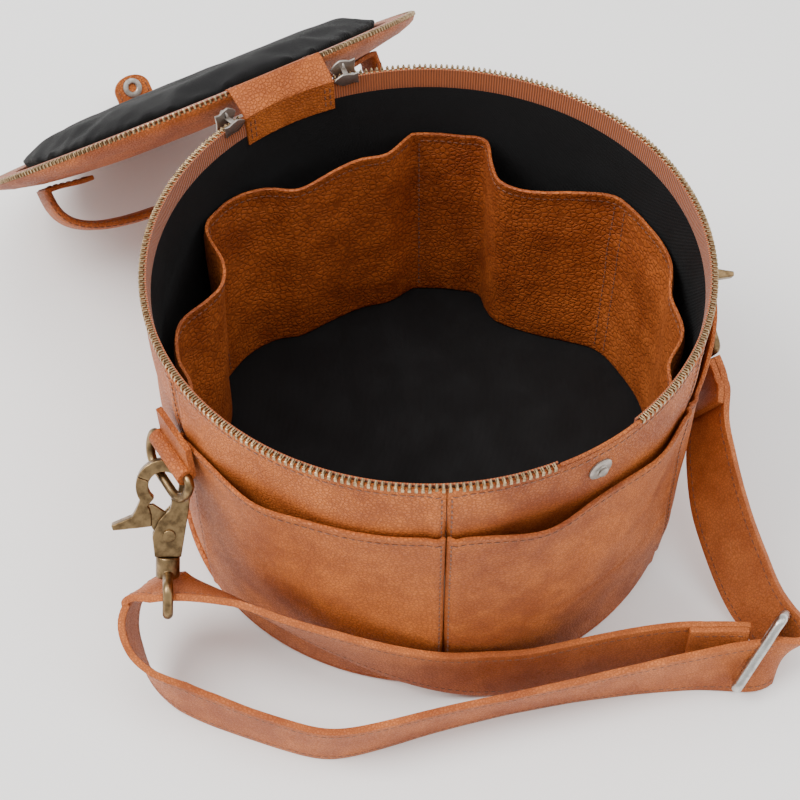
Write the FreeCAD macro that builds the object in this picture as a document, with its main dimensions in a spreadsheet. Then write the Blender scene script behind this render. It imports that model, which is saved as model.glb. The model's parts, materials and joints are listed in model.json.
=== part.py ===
"""Round leather knitting bag: open drum, padded zip lid folded back, snap tab, carry handle,
inner pocket band, D-rings, two trigger snap hooks and an adjustable shoulder strap.

Frame: origin at the middle of the base where it rests, +Z up, the snap stud at the front (-Y),
the lid's hinge at the back (+Y), the D-rings at -X and +X.  Bearings are degrees from the front,
positive towards +X.  The lid's pieces are drawn shut and then swung open about the hinge line.
"""
import FreeCAD, Part
import math
import os
import re
import Sketcher
from FreeCAD import Placement, Rotation, Vector

DRIVING = [
    ("rim_radius", 120.0, "outside of the leather wall at the rim"),
    ("base_radius", 118.0, "outside of the leather wall at the base"),
    ("zip_height", 155.0, "plane where the two rows of zip teeth meet"),
    ("leather", 1.8, "wall leather"),
    ("cloth", 0.8, "lining, zip tape and wall interlining, each"),
    ("piping_radius", 1.8, "rolled piping round the base"),
    ("base_leather", 1.8, "base panel"),
    ("base_card", 2.0, "board over the base panel"),
    ("panel_count", 6.0, "wall panels round the drum"),
    ("front_pocket_top", 119.0, "top edge of the slip pockets on the front panels"),
    ("front_pocket_gap", 0.6, "space behind the slip pockets"),
    ("zip_reveal", 3.0, "leather edge to the zip plane"),
    ("zip_half_gap", 0.8, "half the space between the open rows of teeth"),
    ("teeth_width", 3.0, "across a row of teeth, radially"),
    ("tape_reveal", 9.5, "zip tape showing inside the rim"),
    ("front_gap", 9.0, "half angle of the leather gap in the zip at the front"),
    ("hinge_gap", 11.5, "half angle of the hinge leather at the back"),
    ("inner_pocket_top", 117.0, "top edge of the inner pocket band"),
    ("inner_pocket_leather", 1.6, "inner pocket leather"),
    ("stud_height", 139.0, "centre of the snap stud above the base"),
    ("stud_post", 2.4, "how far the stud stands out"),
    ("tab_width", 22.0, "snap tab"),
    ("tab_leather", 3.0, "snap tab, two layers"),
    ("tab_end", 8.0, "snap tab past the socket's centre"),
    ("tab_clearance", 3.4, "wall at the stud to the inside of the snap tab"),
    ("hinge_rise", 5.0, "hinge line above the zip plane"),
    ("hinge_back", 1.5, "hinge line behind the rim"),
    ("lid_crown", 12.5, "top of the lid above its edge"),
    ("lid_pad_depth", 11.0, "quilted pad below the lid's board"),
    ("lid_lining_radius", 106.3, "where the lid's lining meets the zip tape"),
    ("lid_board_card", 1.5, "board inside the lid"),
    ("handle_width", 25.0, "carry handle"),
    ("handle_leather", 5.0, "carry handle, folded and stitched"),
    ("handle_reach", 100.0, "half the span of the carry handle, outside"),
    ("handle_rise", 36.5, "height of the handle's arch, outside"),
    ("handle_squareness", 3.4, "exponent of the arch: 2 is an ellipse, more is squarer"),
    ("strap_width", 30.0, "shoulder strap"),
    ("strap_leather", 3.0, "shoulder strap, two layers"),
    ("ring_wire", 1.7, "D-ring wire radius"),
    ("ring_width", 33.0, "D-ring between its sides, wire centres"),
    ("ring_drop", 14.0, "D-ring bar to its bottom, wire centres"),
    ("ring_height", 104.0, "D-ring bar above the base"),
    ("ring_lean", 23.0, "D-ring's lean out from plumb"),
    ("hook_eye", 6.5, "inside radius of a snap hook's eye"),
    ("hook_bar", 5.0, "width of the bar round the eye"),
    ("swivel_wire", 2.1, "swivel loop wire radius"),
    ("swivel_depth", 13.0, "swivel loop along the hook, wire centres"),
    ("buckle_wire", 1.9, "slide buckle wire radius"),
    ("buckle_slot", 15.0, "slide buckle across, outer bar centres"),
    ("slip", 0.3, "clearance between loose pieces"),
]

doc = FreeCAD.newDocument("knitting_bag")
sheet = doc.addObject("Spreadsheet::Sheet", "Sizes")
for row, (alias, number, note) in enumerate(DRIVING, start=1):
    sheet.set(f"A{row}", alias)
    sheet.set(f"B{row}", str(number))
    sheet.set(f"C{row}", note)
    sheet.setAlias(f"B{row}", alias)
doc.recompute()

ALIAS = re.compile(r"\b(" + "|".join(alias for alias, _, _ in DRIVING) + r")\b")
pieces = {}


def bound(expression):
    """The expression with each alias written the way a property outside the sheet reads it."""
    return ALIAS.sub(lambda found: "Sizes." + found.group(1), expression)


def size(expression):
    """The value of an expression on the sheet's aliases, in millimetres or degrees."""
    return float(sheet.evalExpression(bound(expression)))


def wall(height, inset="0"):
    """Radius of the drum's outer face at a height, less an inset, as an expression."""
    foot = "(2 * piping_radius)"
    top = "(zip_height - zip_reveal)"
    return (f"(base_radius + (rim_radius - base_radius) * (({height}) - {foot}) / ({top} - {foot})"
            f" - ({inset}))")


# ---- building blocks ---------------------------------------------------------------------

def origin_plane(body, role):
    return next(plane for plane in body.Origin.OriginFeatures if plane.Role == role)


def outline(body, role, corners):
    """A closed sketch through corners, each coordinate an expression bound to the sheet."""
    sketch = body.newObject("Sketcher::SketchObject", body.Name + "_outline")
    sketch.AttachmentSupport = [(origin_plane(body, role), "")]
    sketch.MapMode = "FlatFace"
    spots = [Vector(size(across), size(up), 0) for across, up in corners]
    for index, spot in enumerate(spots):
        sketch.addGeometry(Part.LineSegment(spot, spots[(index + 1) % len(spots)]), False)
    for index in range(len(spots)):
        sketch.addConstraint(
            Sketcher.Constraint("Coincident", index, 2, (index + 1) % len(spots), 1))
    for index, (across, up) in enumerate(corners):
        for kind, axis, expression, value in (("DistanceX", -2, across, spots[index].x),
                                              ("DistanceY", -1, up, spots[index].y)):
            if expression == "0":
                sketch.addConstraint(Sketcher.Constraint("PointOnObject", index, 1, axis))
                continue
            number = sketch.addConstraint(Sketcher.Constraint(kind, -1, 1, index, 1, value))
            sketch.setExpression(f"Constraints[{number}]", bound(expression))
    return sketch


def keep(label, feature, placement=None):
    """Names a finished sub-part after its file and puts it in its place."""
    feature.Label = label
    if placement is not None:
        feature.Placement = placement
    pieces[label] = feature
    return feature


def turned(label, corners, start=0.0, sweep="360", placement=None, keep_it=True):
    """A profile of (radius, height) turned about Z from a bearing through a sweep."""
    body = doc.addObject("PartDesign::Body", label)
    sketch = outline(body, "XZ_Plane", corners)
    turn = body.newObject("PartDesign::Revolution", label + "_turn")
    turn.Profile = sketch
    turn.ReferenceAxis = (sketch, ["V_Axis"])
    turn.Angle = size(sweep)
    turn.setExpression("Angle", bound(sweep))
    sketch.Visibility = False
    spin = Placement(Vector(), Rotation(Vector(0, 0, 1), start - 90.0))
    body.Placement = spin if placement is None else placement.multiply(spin)
    if keep_it:
        keep(label, body)
    return body


def group(label, members):
    """Several separate solids as one node."""
    doc.recompute()
    feature = doc.addObject("Part::Compound", label)
    feature.Links = members
    return keep(label, feature)


def shaped(label, shape, placement=None):
    """A sub-part whose shape is worked out here from the sheet's values."""
    feature = doc.addObject("Part::Feature", label)
    feature.Shape = shape
    return keep(label, feature, placement)


def disc(label, radius, height, foot):
    feature = doc.addObject("Part::Cylinder", label)
    for name, expression in (("Radius", radius), ("Height", height)):
        feature.setExpression(name, bound(expression))
    return keep(label, feature, Placement(Vector(0, 0, size(foot)), Rotation()))


def on_bearing(radius, bearing, height):
    angle = math.radians(bearing - 90.0)
    return Vector(radius * math.cos(angle), radius * math.sin(angle), height)


# ---- where the lid stands ------------------------------------------------------------------

hinge_line = Vector(0, size("rim_radius + hinge_back"), size("zip_height + hinge_rise"))
LID_EDGE_LOW = 1.0      # how far the lid's outer edge sits below the hinge line, shut
LID_FLOOR_GAP = 0.4     # the open lid's edge above the surface the bag stands on
lid_reach = 2 * size("rim_radius") + size("hinge_back")
lid_fold = math.degrees(math.asin((hinge_line.z - LID_EDGE_LOW - LID_FLOOR_GAP) / lid_reach))
LID_ANGLE = 180.0 + lid_fold


def swung(point, axis, degrees):
    """A placement that turns about an axis through a point."""
    turn = Rotation(axis, degrees)
    return Placement(point - turn.multVec(point), turn)


lid_open = swung(hinge_line, Vector(1, 0, 0), -LID_ANGLE)

# ---- drum: wall, base, lining ---------------------------------------------------------------

FOOT = "2 * piping_radius"
TOP = "zip_height - zip_reveal"
SIXTH = "360 / panel_count"
PANELS = [("front_panel", -30), ("front_right_panel", 30), ("back_right_panel", 90),
          ("back_panel", 150), ("back_left_panel", 210), ("front_left_panel", 270)]
for label, bearing in PANELS:
    turned(label, [(wall(FOOT, "leather"), FOOT), (wall(FOOT), FOOT),
                   (wall(TOP), TOP), (wall(TOP, "leather"), TOP)], bearing, SIXTH)

SLIP = "-front_pocket_gap"
for label, bearing in (("slip_pocket_front", -30), ("slip_pocket_right", 30),
                       ("slip_pocket_left", 270)):
    turned(label, [(wall(FOOT, SLIP), FOOT), (wall(FOOT, SLIP + " - leather"), FOOT),
                   (wall("front_pocket_top", SLIP + " - leather"), "front_pocket_top"),
                   (wall("front_pocket_top", SLIP), "front_pocket_top")], bearing, SIXTH)

piping = doc.addObject("Part::Torus", "base_piping")
piping.setExpression("Radius1", bound("base_radius + 0.4"))
piping.setExpression("Radius2", bound("piping_radius"))
keep("base_piping", piping, Placement(Vector(0, 0, size("piping_radius")), Rotation()))

disc("base_panel", "base_radius - piping_radius + 0.2", "base_leather", "0")
disc("base_board", "base_radius - leather - 1.4", "base_card", "base_leather")
FLOOR = "base_leather + base_card"
disc("base_lining", "base_radius - leather - 1.4", "cloth", FLOOR)

TAPE_LOW = f"{TOP} - tape_reveal - 4"
LINING_TOP = f"{TOP} - tape_reveal"
LINING_FOOT = f"{FLOOR} + cloth"
turned("wall_interlining",
       [(wall(FOOT, "leather + cloth"), FOOT), (wall(FOOT, "leather"), FOOT),
        (wall(TAPE_LOW, "leather"), TAPE_LOW), (wall(TAPE_LOW, "leather + cloth"), TAPE_LOW)])
turned("wall_lining",
       [(wall(LINING_FOOT, "leather + 2 * cloth"), LINING_FOOT),
        (wall(LINING_FOOT, "leather + cloth"), LINING_FOOT),
        (wall(LINING_TOP, "leather + cloth"), LINING_TOP),
        (wall(LINING_TOP, "leather + 2 * cloth"), LINING_TOP)])

# ---- rim: zip tape, teeth, front facing, hinge leather ---------------------------------------

ZIP_SWEEP = "180 - front_gap - hinge_gap"
SIDES = (("right", size("front_gap")), ("left", -180.0 + size("hinge_gap")))
INSIDE = "rim_radius - leather"


def both_sides(label, corners, placement=None):
    """The same profile round the right and the left side of the rim, as one node."""
    group(label, [turned(f"{label}_{side}", corners, start, ZIP_SWEEP, placement, keep_it=False)
                  for side, start in SIDES])


TAPE_TOP = f"{TOP} + 0.8"
both_sides("rim_zip_tape",
           [(wall(TAPE_LOW, "leather + cloth"), TAPE_LOW), (wall(TAPE_LOW, "leather"), TAPE_LOW),
            (INSIDE, TAPE_TOP), (wall(TAPE_TOP, "leather + cloth"), TAPE_TOP)])
both_sides("rim_zip_teeth",
           [(INSIDE, TOP), (f"{INSIDE} + teeth_width", TOP),
            (f"{INSIDE} + teeth_width", "zip_height - zip_half_gap"),
            (INSIDE, "zip_height - zip_half_gap")])

FACING_TOP = "zip_height - zip_half_gap - 0.1"
turned("front_facing",
       [(wall(TAPE_LOW, "leather + cloth"), TAPE_LOW), (wall(TAPE_LOW, "leather"), TAPE_LOW),
        (INSIDE, TOP), ("rim_radius", TOP), ("rim_radius", FACING_TOP),
        (wall(FACING_TOP, "leather + cloth"), FACING_TOP)],
       -size("front_gap"), "2 * front_gap")
HINGE_LOW = f"{TOP} - 30"
turned("hinge_leather_lower",
       [(wall(HINGE_LOW, "leather + 2 * cloth + 1.4"), HINGE_LOW),
        (wall(HINGE_LOW, "leather + 2 * cloth + 0.2"), HINGE_LOW),
        (f"{INSIDE} - 2 * cloth - 0.2", TOP), ("rim_radius", TOP), ("rim_radius", FACING_TOP),
        (f"{INSIDE} - 2 * cloth - 1.4", FACING_TOP)],
       180.0 - size("hinge_gap"), "2 * hinge_gap")

# ---- inner pocket band ---------------------------------------------------------------------------

BAND = "base_radius - leather - 2 * cloth - 0.3"
INNER_POCKETS = [("inner_pocket_front", 0, 9.0), ("inner_pocket_right", 60, 10.0),
                 ("inner_pocket_back_right", 120, 27.0), ("inner_pocket_back", 180, 19.0),
                 ("inner_pocket_back_left", 240, 21.0), ("inner_pocket_left", 300, 10.0)]


def bowed_sheet(middle, fullness, foot, top):
    """A sheet between two seams whose middle stands off the wall by its fullness."""
    half = 180.0 / size("panel_count") - 0.6
    seam, thick = size(BAND), size("inner_pocket_leather")
    edges = []
    for radius in (seam, seam - thick):
        ends = [on_bearing(radius, middle + side * half, foot) for side in (-1, 1)]
        crown = on_bearing(radius - fullness, middle, foot)
        edges.append(Part.Arc(ends[0], crown, ends[1]).toShape())
    loop = Part.Wire([edges[0],
                      Part.makeLine(edges[0].Vertexes[1].Point, edges[1].Vertexes[1].Point),
                      edges[1],
                      Part.makeLine(edges[1].Vertexes[0].Point, edges[0].Vertexes[0].Point)])
    return Part.Face(loop).extrude(Vector(0, 0, top - foot))


for label, middle, fullness in INNER_POCKETS:
    shaped(label, bowed_sheet(middle, fullness, size(LINING_FOOT), size("inner_pocket_top")))

# ---- press stud on the front wall ------------------------------------------------------------------

STUD_PROFILE = [("0", "0"), ("5", "0"), ("5", "0.6"), ("2.2", "1.0"), ("2.2", "1.4"),
                ("2.7", "1.9"), ("2.5", "stud_post"), ("0", "stud_post")]
stud_face = Vector(0, -size(wall("stud_height", "-0.1")), size("stud_height"))
turned("snap_stud", STUD_PROFILE, 90.0, "360",
       Placement(stud_face, Rotation(Vector(1, 0, 0), 90)))

# ---- lid, drawn shut and swung open ---------------------------------------------------------------

EDGE = "zip_height + zip_reveal"
CROWN = f"{EDGE} + lid_crown"
BOARD_TOP = f"{EDGE} + lid_board_card"
turned("lid_cover",
       [("0", CROWN), ("rim_radius / 3", f"{CROWN} - 0.5"), ("rim_radius * 2 / 3", f"{CROWN} - 2"),
        ("rim_radius - 8", f"{EDGE} + 4.5"), ("rim_radius", f"{EDGE} + 1.6"), ("rim_radius", EDGE),
        (INSIDE, EDGE), (INSIDE, f"{EDGE} + 1.5"), ("rim_radius - 8.6", f"{EDGE} + 2.7"),
        ("rim_radius * 2 / 3", f"{CROWN} - 3.8"), ("rim_radius / 3", f"{CROWN} - 2.3"),
        ("0", f"{CROWN} - leather")], 0.0, "360", lid_open)
turned("lid_wadding",
       [("0", BOARD_TOP), ("rim_radius - 12", BOARD_TOP),
        ("rim_radius * 2 / 3", f"{CROWN} - 4.4"), ("rim_radius / 3", f"{CROWN} - 2.6"),
        ("0", f"{CROWN} - leather - 0.3")], 0.0, "360", lid_open)
turned("lid_board",
       [("0", EDGE), (f"{INSIDE} - 0.4", EDGE), (f"{INSIDE} - 0.4", f"{BOARD_TOP} - 0.2"),
        ("0", BOARD_TOP)], 0.0, "360", lid_open)
PAD_LOW = f"{EDGE} - lid_pad_depth"
turned("lid_pad",
       [("0", PAD_LOW), ("lid_lining_radius - 10", f"{PAD_LOW} + 1.6"),
        ("lid_lining_radius - 2.3", f"{PAD_LOW} + 5"), ("lid_lining_radius - cloth", EDGE),
        ("0", EDGE)], 0.0, "360", lid_open)
turned("lid_lining",
       [("0", f"{PAD_LOW} - cloth"), ("lid_lining_radius - 9.7", f"{PAD_LOW} + 0.75"),
        ("lid_lining_radius - 1.4", f"{PAD_LOW} + 4.6"), ("lid_lining_radius", EDGE),
        ("lid_lining_radius - cloth", EDGE), ("lid_lining_radius - 2.3", f"{PAD_LOW} + 5"),
        ("lid_lining_radius - 10", f"{PAD_LOW} + 1.6"), ("0", PAD_LOW)], 0.0, "360", lid_open)
both_sides("lid_zip_tape",
           [("lid_lining_radius", f"{EDGE} - cloth"), (INSIDE, f"{EDGE} - cloth"),
            (INSIDE, EDGE), ("lid_lining_radius", EDGE)], lid_open)
both_sides("lid_zip_teeth",
           [(INSIDE, "zip_height + zip_half_gap"),
            (f"{INSIDE} + teeth_width", "zip_height + zip_half_gap"),
            (f"{INSIDE} + teeth_width", EDGE), (INSIDE, EDGE)], lid_open)
FACING_LOW = f"{EDGE} - 2"
turned("lid_front_facing",
       [("lid_lining_radius", FACING_LOW), ("rim_radius", FACING_LOW), ("rim_radius", EDGE),
        ("lid_lining_radius", EDGE)], -size("front_gap"), "2 * front_gap", lid_open)
turned("hinge_leather_upper",
       [("lid_lining_radius", FACING_LOW), ("rim_radius", FACING_LOW), ("rim_radius", EDGE),
        ("lid_lining_radius", EDGE)], 180.0 - size("hinge_gap"), "2 * hinge_gap", lid_open)

# ---- snap tab at the lid's free edge ------------------------------------------------------------------

tab_inside = -(size(wall("stud_height")) + size("tab_clearance"))
tab_outside = tab_inside - size("tab_leather")
ROOT_TOP = FACING_LOW
root_thick = 1.6
root = doc.addObject("Part::Box", "snap_tab_root")
root.setExpression("Length", bound("tab_width"))
root.Width = -size("rim_radius - 12") - tab_outside
root.Height = root_thick
keep("snap_tab_root", root, lid_open.multiply(
    Placement(Vector(-size("tab_width") / 2, tab_outside, size(ROOT_TOP) - root_thick), Rotation())))

tab_axis_height = size(ROOT_TOP) - root_thick - 0.3
TAB_JOINT_GAP = 1.9
tab_top = tab_axis_height - TAB_JOINT_GAP
tab_foot = size("stud_height") - size("tab_end")
round_end = size("tab_width") / 2
straight_foot = max(tab_foot + round_end * 0.7, tab_foot + 1)
tab_wire = Part.Wire([
    Part.makeLine(Vector(-round_end, tab_outside, tab_top), Vector(round_end, tab_outside, tab_top)),
    Part.makeLine(Vector(round_end, tab_outside, tab_top),
                  Vector(round_end, tab_outside, straight_foot)),
    Part.Arc(Vector(round_end, tab_outside, straight_foot), Vector(0, tab_outside, tab_foot),
             Vector(-round_end, tab_outside, straight_foot)).toShape(),
    Part.makeLine(Vector(-round_end, tab_outside, straight_foot),
                  Vector(-round_end, tab_outside, tab_top))])
tab_plate = Part.Face(tab_wire).extrude(Vector(0, size("tab_leather"), 0))
SOCKET_BORE, SOCKET_BARREL, SOCKET_FLANGE, SOCKET_CAP = 3.2, 4.0, 6.0, 6.5
socket_centre = Vector(0, tab_outside, size("stud_height"))
hole = Part.makeCylinder(SOCKET_BARREL, size("tab_leather"), socket_centre, Vector(0, 1, 0))
shaped("snap_tab", tab_plate.cut(hole), lid_open)
turned("snap_socket",
       [(str(SOCKET_BORE), "0"), (str(SOCKET_BARREL), "0"), (str(SOCKET_BARREL), "tab_leather"),
        (str(SOCKET_FLANGE), "tab_leather"), (str(SOCKET_FLANGE), "tab_leather + 0.8"),
        (str(SOCKET_BORE), "tab_leather + 0.8")], 90.0, "360",
       lid_open.multiply(Placement(socket_centre, Rotation(Vector(1, 0, 0), -90))))
turned("snap_cap",
       [("0", "0"), (str(SOCKET_CAP), "0"), (f"{SOCKET_CAP} - 0.6", "-0.9"), ("0", "-1.3")],
       90.0, "360",
       lid_open.multiply(Placement(socket_centre, Rotation(Vector(1, 0, 0), -90))))

# ---- carry handle on the lid ---------------------------------------------------------------------------

HANDLE_FOOT = f"{CROWN} - 2.2"
ANCHOR_GAP = 1.0        # the standing handle to the sewn ends that lie on the cover
ANCHOR_LENGTH = 22.0
handle_line = Vector(0, 0, size(HANDLE_FOOT))


def arch_band(reach, rise, thick, width, squareness):
    """A band on a squared-off arch in the XZ plane, extruded evenly to a width along Y."""
    def arc(half, height):
        spots = []
        for step in range(-12, 13):
            angle = math.radians(90.0 * step / 12)
            across = math.copysign(abs(math.sin(angle)) ** (2 / squareness), angle)
            up = abs(math.cos(angle)) ** (2 / squareness)
            spots.append(Vector(half * across, -width / 2, height * up))
        line = Part.BSplineCurve()
        line.interpolate(spots)
        return line.toShape()

    outer, inner = arc(reach, rise), arc(reach - thick, rise - thick)
    loop = Part.Wire([outer,
                      Part.makeLine(outer.Vertexes[1].Point, inner.Vertexes[1].Point), inner,
                      Part.makeLine(inner.Vertexes[0].Point, outer.Vertexes[0].Point)])
    return Part.Face(loop).extrude(Vector(0, width, 0))


shaped("carry_handle",
       arch_band(size("handle_reach"), size("handle_rise"), size("handle_leather"),
                 size("handle_width"), size("handle_squareness")),
       lid_open.multiply(Placement(handle_line, Rotation())))
cover_slope = math.degrees(math.atan2(size(f"{CROWN} - 2 - ({EDGE} + 4.5)"),
                                      size("rim_radius - 8 - rim_radius * 2 / 3")))
cover_break = Vector(size("rim_radius * 2 / 3"), 0, size(f"{CROWN} - 2"))
anchors = []
for side in (-1, 1):
    lie = Rotation(Vector(0, 1, 0), side * cover_slope)
    anchor = doc.addObject("Part::Box", f"handle_anchor_{'left' if side < 0 else 'right'}")
    anchor.Length = ANCHOR_LENGTH
    anchor.setExpression("Width", bound("handle_width"))
    anchor.Height = size("handle_leather / 2")
    outer_end = size("handle_reach - handle_leather") - ANCHOR_GAP - 0.5
    start = Vector(side * cover_break.x, -size("handle_width") / 2, cover_break.z + 0.35)
    run = (outer_end - cover_break.x) / math.cos(math.radians(cover_slope)) - ANCHOR_LENGTH
    corner = lie.multVec(Vector(run if side > 0 else -run - ANCHOR_LENGTH, 0, 0))
    anchor.Placement = lid_open.multiply(Placement(start + corner, lie))
    anchors.append(anchor)
group("handle_anchors", anchors)

# ---- zip sliders, parked beside the hinge -----------------------------------------------------------------

PARK = 165.3
SLIDER_HALF = 2.3
for name, mirror in (("left", -1), ("right", 1)):
    middle = mirror * PARK
    start = middle - SLIDER_HALF
    sweep = f"{2 * SLIDER_HALF}"
    outer_face = f"{INSIDE} + teeth_width + 0.6"
    inner_face = f"{INSIDE} - cloth - 0.4"
    turned(f"zip_slider_{name}",
           [(outer_face, f"{TOP} - 1.6"), (f"{outer_face} + 1.2", f"{TOP} - 1.6"),
            (f"{outer_face} + 1.2", f"{EDGE} + 1.2"), (outer_face, f"{EDGE} + 1.2"),
            (outer_face, "zip_height + 0.5"), (inner_face, "zip_height + 0.5"),
            (inner_face, f"{EDGE} - 1.2"), (f"{inner_face} - 1.2", f"{EDGE} - 1.2"),
            (f"{inner_face} - 1.2", f"{TOP} - 1.6"), (inner_face, f"{TOP} - 1.6"),
            (inner_face, "zip_height - 0.5"), (outer_face, "zip_height - 0.5")], start, sweep)
    PULL_HALF = 2.6
    turned(f"slider_pull_{name}",
           [(f"{outer_face} + 1.5", f"{TOP} - 26"), (f"{outer_face} + 2.9", f"{TOP} - 26"),
            (f"{outer_face} + 2.9", "zip_height + 1"), (f"{outer_face} + 1.5", "zip_height + 1")],
           middle - PULL_HALF, f"{2 * PULL_HALF}")

# ---- D-rings and their tabs ------------------------------------------------------------------------------------

TAB_ROLL = 4.2          # outside radius of the leather rolled round the ring's bar
TAB_STANDOFF = 1.0      # the roll off the slip pocket's face
ring_bar = size(f"{wall('ring_height')} + front_pocket_gap + leather") + TAB_ROLL + TAB_STANDOFF


def wire_loop(path_edges, radius):
    """A closed wire of round section along a planar path that starts on local Z = 0."""
    path = Part.Wire(path_edges)
    start = path_edges[0].Vertexes[0].Point
    circle = Part.Wire(Part.makeCircle(radius, start, Vector(0, 0, 1)))
    return path.makePipeShell([circle], True, True)


def rounded_loop(width, top, bottom, top_corner, bottom_corner):
    """Edges of a rounded loop in the XZ plane, from its right side at Z = 0, anticlockwise."""
    half = width / 2.0
    line, point = Part.makeLine, Vector

    def bend(centre_x, centre_z, radius, first, last):
        middle = (first + last) / 2
        spots = [point(centre_x + radius * math.cos(math.radians(a)), 0,
                       centre_z + radius * math.sin(math.radians(a))) for a in (first, middle, last)]
        return Part.Arc(*spots).toShape()

    return [line(point(half, 0, 0), point(half, 0, top - top_corner)),
            bend(half - top_corner, top - top_corner, top_corner, 0, 90),
            line(point(half - top_corner, 0, top), point(top_corner - half, 0, top)),
            bend(top_corner - half, top - top_corner, top_corner, 90, 180),
            line(point(-half, 0, top - top_corner), point(-half, 0, bottom_corner - bottom)),
            bend(bottom_corner - half, bottom_corner - bottom, bottom_corner, 180, 270),
            line(point(bottom_corner - half, 0, -bottom), point(half - bottom_corner, 0, -bottom)),
            bend(half - bottom_corner, bottom_corner - bottom, bottom_corner, 270, 360),
            line(point(half, 0, bottom_corner - bottom), point(half, 0, 0))]


RING_TOP_CORNER, RING_BOTTOM_CORNER = 3.0, 9.5
ring_shape = wire_loop(
    rounded_loop(size("ring_width"), 4.0, size("ring_drop") - 4.0, RING_TOP_CORNER,
                 RING_BOTTOM_CORNER), size("ring_wire"))
ring_places = {}
for name, side in (("left", -1), ("right", 1)):
    bar = Vector(side * ring_bar, 0, size("ring_height"))
    lean = Rotation(Vector(0, 1, 0), -side * size("ring_lean"))
    turn = lean.multiply(Rotation(Vector(0, 0, 1), 90))
    place = Placement(bar + lean.multVec(Vector(0, 0, -4.0)), turn)
    ring_places[name] = (bar, lean)
    shaped(f"d_ring_{name}", ring_shape, place)


def ring_tab(side):
    """A strip folded round the bar's straight part, its tail flat against the wall."""
    bar = Vector(side * ring_bar, 0, size("ring_height"))
    length = size("ring_width") - 2 * RING_TOP_CORNER - 1.0
    roll = Part.makeCylinder(TAB_ROLL, length, bar + Vector(0, -length / 2, 0), Vector(0, 1, 0))
    tail_thick, tail_length = 2.6, 17.0
    near = ring_bar - TAB_ROLL
    tail = Part.makeBox(tail_thick, length, tail_length,
                        Vector(near if side > 0 else -near - tail_thick, -length / 2, bar.z))
    hollow = Part.makeCylinder(size("ring_wire + slip"), length + 2,
                               bar + Vector(0, -length / 2 - 1, 0), Vector(0, 1, 0))
    return roll.fuse(tail).cut(hollow).removeSplitter()


tabs = []
for name, side in (("left", -1), ("right", 1)):
    tab = doc.addObject("Part::Feature", f"ring_tab_{name}")
    tab.Shape = ring_tab(side)
    tabs.append(tab)
group("ring_tabs", tabs)

# ---- trigger snap hooks ------------------------------------------------------------------------------------------
# Local frame of a hook: the eye's centre at the origin, the eye's plane X-Z, the neck towards -Z,
# the thumb lever towards -X, the flat face towards -Y.

eye = size("hook_eye")
bar = size("hook_bar")
HOOK_THICK, LUG_THICK, LUG_SLOT = 6.4, 2.4, 3.0
PIVOT = Vector(2.5, 0, -21.5)
PIVOT_RADIUS = 1.6
NECK_TOP, NECK_LENGTH, NECK_RADIUS = -31.0, 7.0, 2.0


def slab(points, thick):
    corners = [Vector(x, -thick / 2, z) for x, z in points]
    return Part.Face(Part.makePolygon(corners + corners[:1])).extrude(Vector(0, thick, 0))


def eye_arc(first, last, thick):
    """Part of the ring round the eye, from one angle to another."""
    def spot(radius, angle):
        return Vector(radius * math.cos(math.radians(angle)), -thick / 2,
                      radius * math.sin(math.radians(angle)))
    middle = (first + last) / 2
    outer = Part.Arc(*[spot(eye + bar, a) for a in (first, middle, last)]).toShape()
    inner = Part.Arc(*[spot(eye, a) for a in (first, middle, last)]).toShape()
    loop = Part.Wire([outer, Part.makeLine(spot(eye + bar, last), spot(eye, last)), inner,
                      Part.makeLine(spot(eye, first), spot(eye + bar, first))])
    return Part.Face(loop).extrude(Vector(0, thick, 0))


def pivot_pin(radius, length):
    return Part.makeCylinder(radius, length, PIVOT + Vector(0, -length / 2, 0), Vector(0, 1, 0))


def hook_shape():
    frame_part = eye_arc(-62, 158, bar).fuse(slab(
        [(eye + bar - 0.4, -2), (eye + bar - 1, -10), (7.5, -31), (-3.5, -31), (-4.5, -22),
         (-2.0, -15), (3.0, -9.5), (eye * 0.62, -eye * 0.8), (eye + 0.3, -3)], HOOK_THICK))
    lug_room = slab([(-9, -8), (2.4, -9.4), (6.4, -14), (6.4, -26.5), (-9, -26.5)], LUG_SLOT)
    neck = Part.makeCylinder(NECK_RADIUS, NECK_LENGTH, Vector(2, 0, NECK_TOP), Vector(0, 0, -1))
    head = Part.makeCylinder(NECK_RADIUS + 1.3, 1.6,
                             Vector(2, 0, NECK_TOP - NECK_LENGTH + 0.4), Vector(0, 0, -1))
    frame_part = frame_part.cut(lug_room).cut(pivot_pin(PIVOT_RADIUS, HOOK_THICK + 2))
    eye_room = Part.makeCylinder(eye, HOOK_THICK + 2, Vector(0, -HOOK_THICK / 2 - 1, 0),
                                 Vector(0, 1, 0))
    return frame_part.cut(eye_room).fuse([neck, head]).removeSplitter()


def gate_shape():
    arm = eye_arc(160, 232, bar)
    lever = slab([(-9.5, -5.5), (-6.0, -9.8), (-5.2, -13), (-5.2, -17.5), (-9, -18), (-21, -19.2),
                  (-21.6, -17.2), (-13, -13.5), (-11.2, -10)], bar)
    lug = slab([(-8.0, -9), (-4.5, -8.2), (1.0, -12.0), (5.2, -18.5), (5.6, -23), (2.5, -25.2),
                (-1.5, -24), (-5, -18), (-8, -15)], LUG_THICK)
    bore = pivot_pin(PIVOT_RADIUS + 0.06, LUG_THICK + 4)
    clear_eye = Part.makeCylinder(eye, bar + 2, Vector(0, -bar / 2 - 1, 0), Vector(0, 1, 0))
    return arm.fuse([lever, lug]).cut(clear_eye).cut(bore).removeSplitter()


def pin_shape():
    shank = pivot_pin(PIVOT_RADIUS, HOOK_THICK)
    heads = [Part.makeCylinder(2.6, 0.9, PIVOT + Vector(0, side * HOOK_THICK / 2, 0),
                               Vector(0, side, 0)) for side in (-1, 1)]
    return shank.fuse(heads).removeSplitter()


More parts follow.
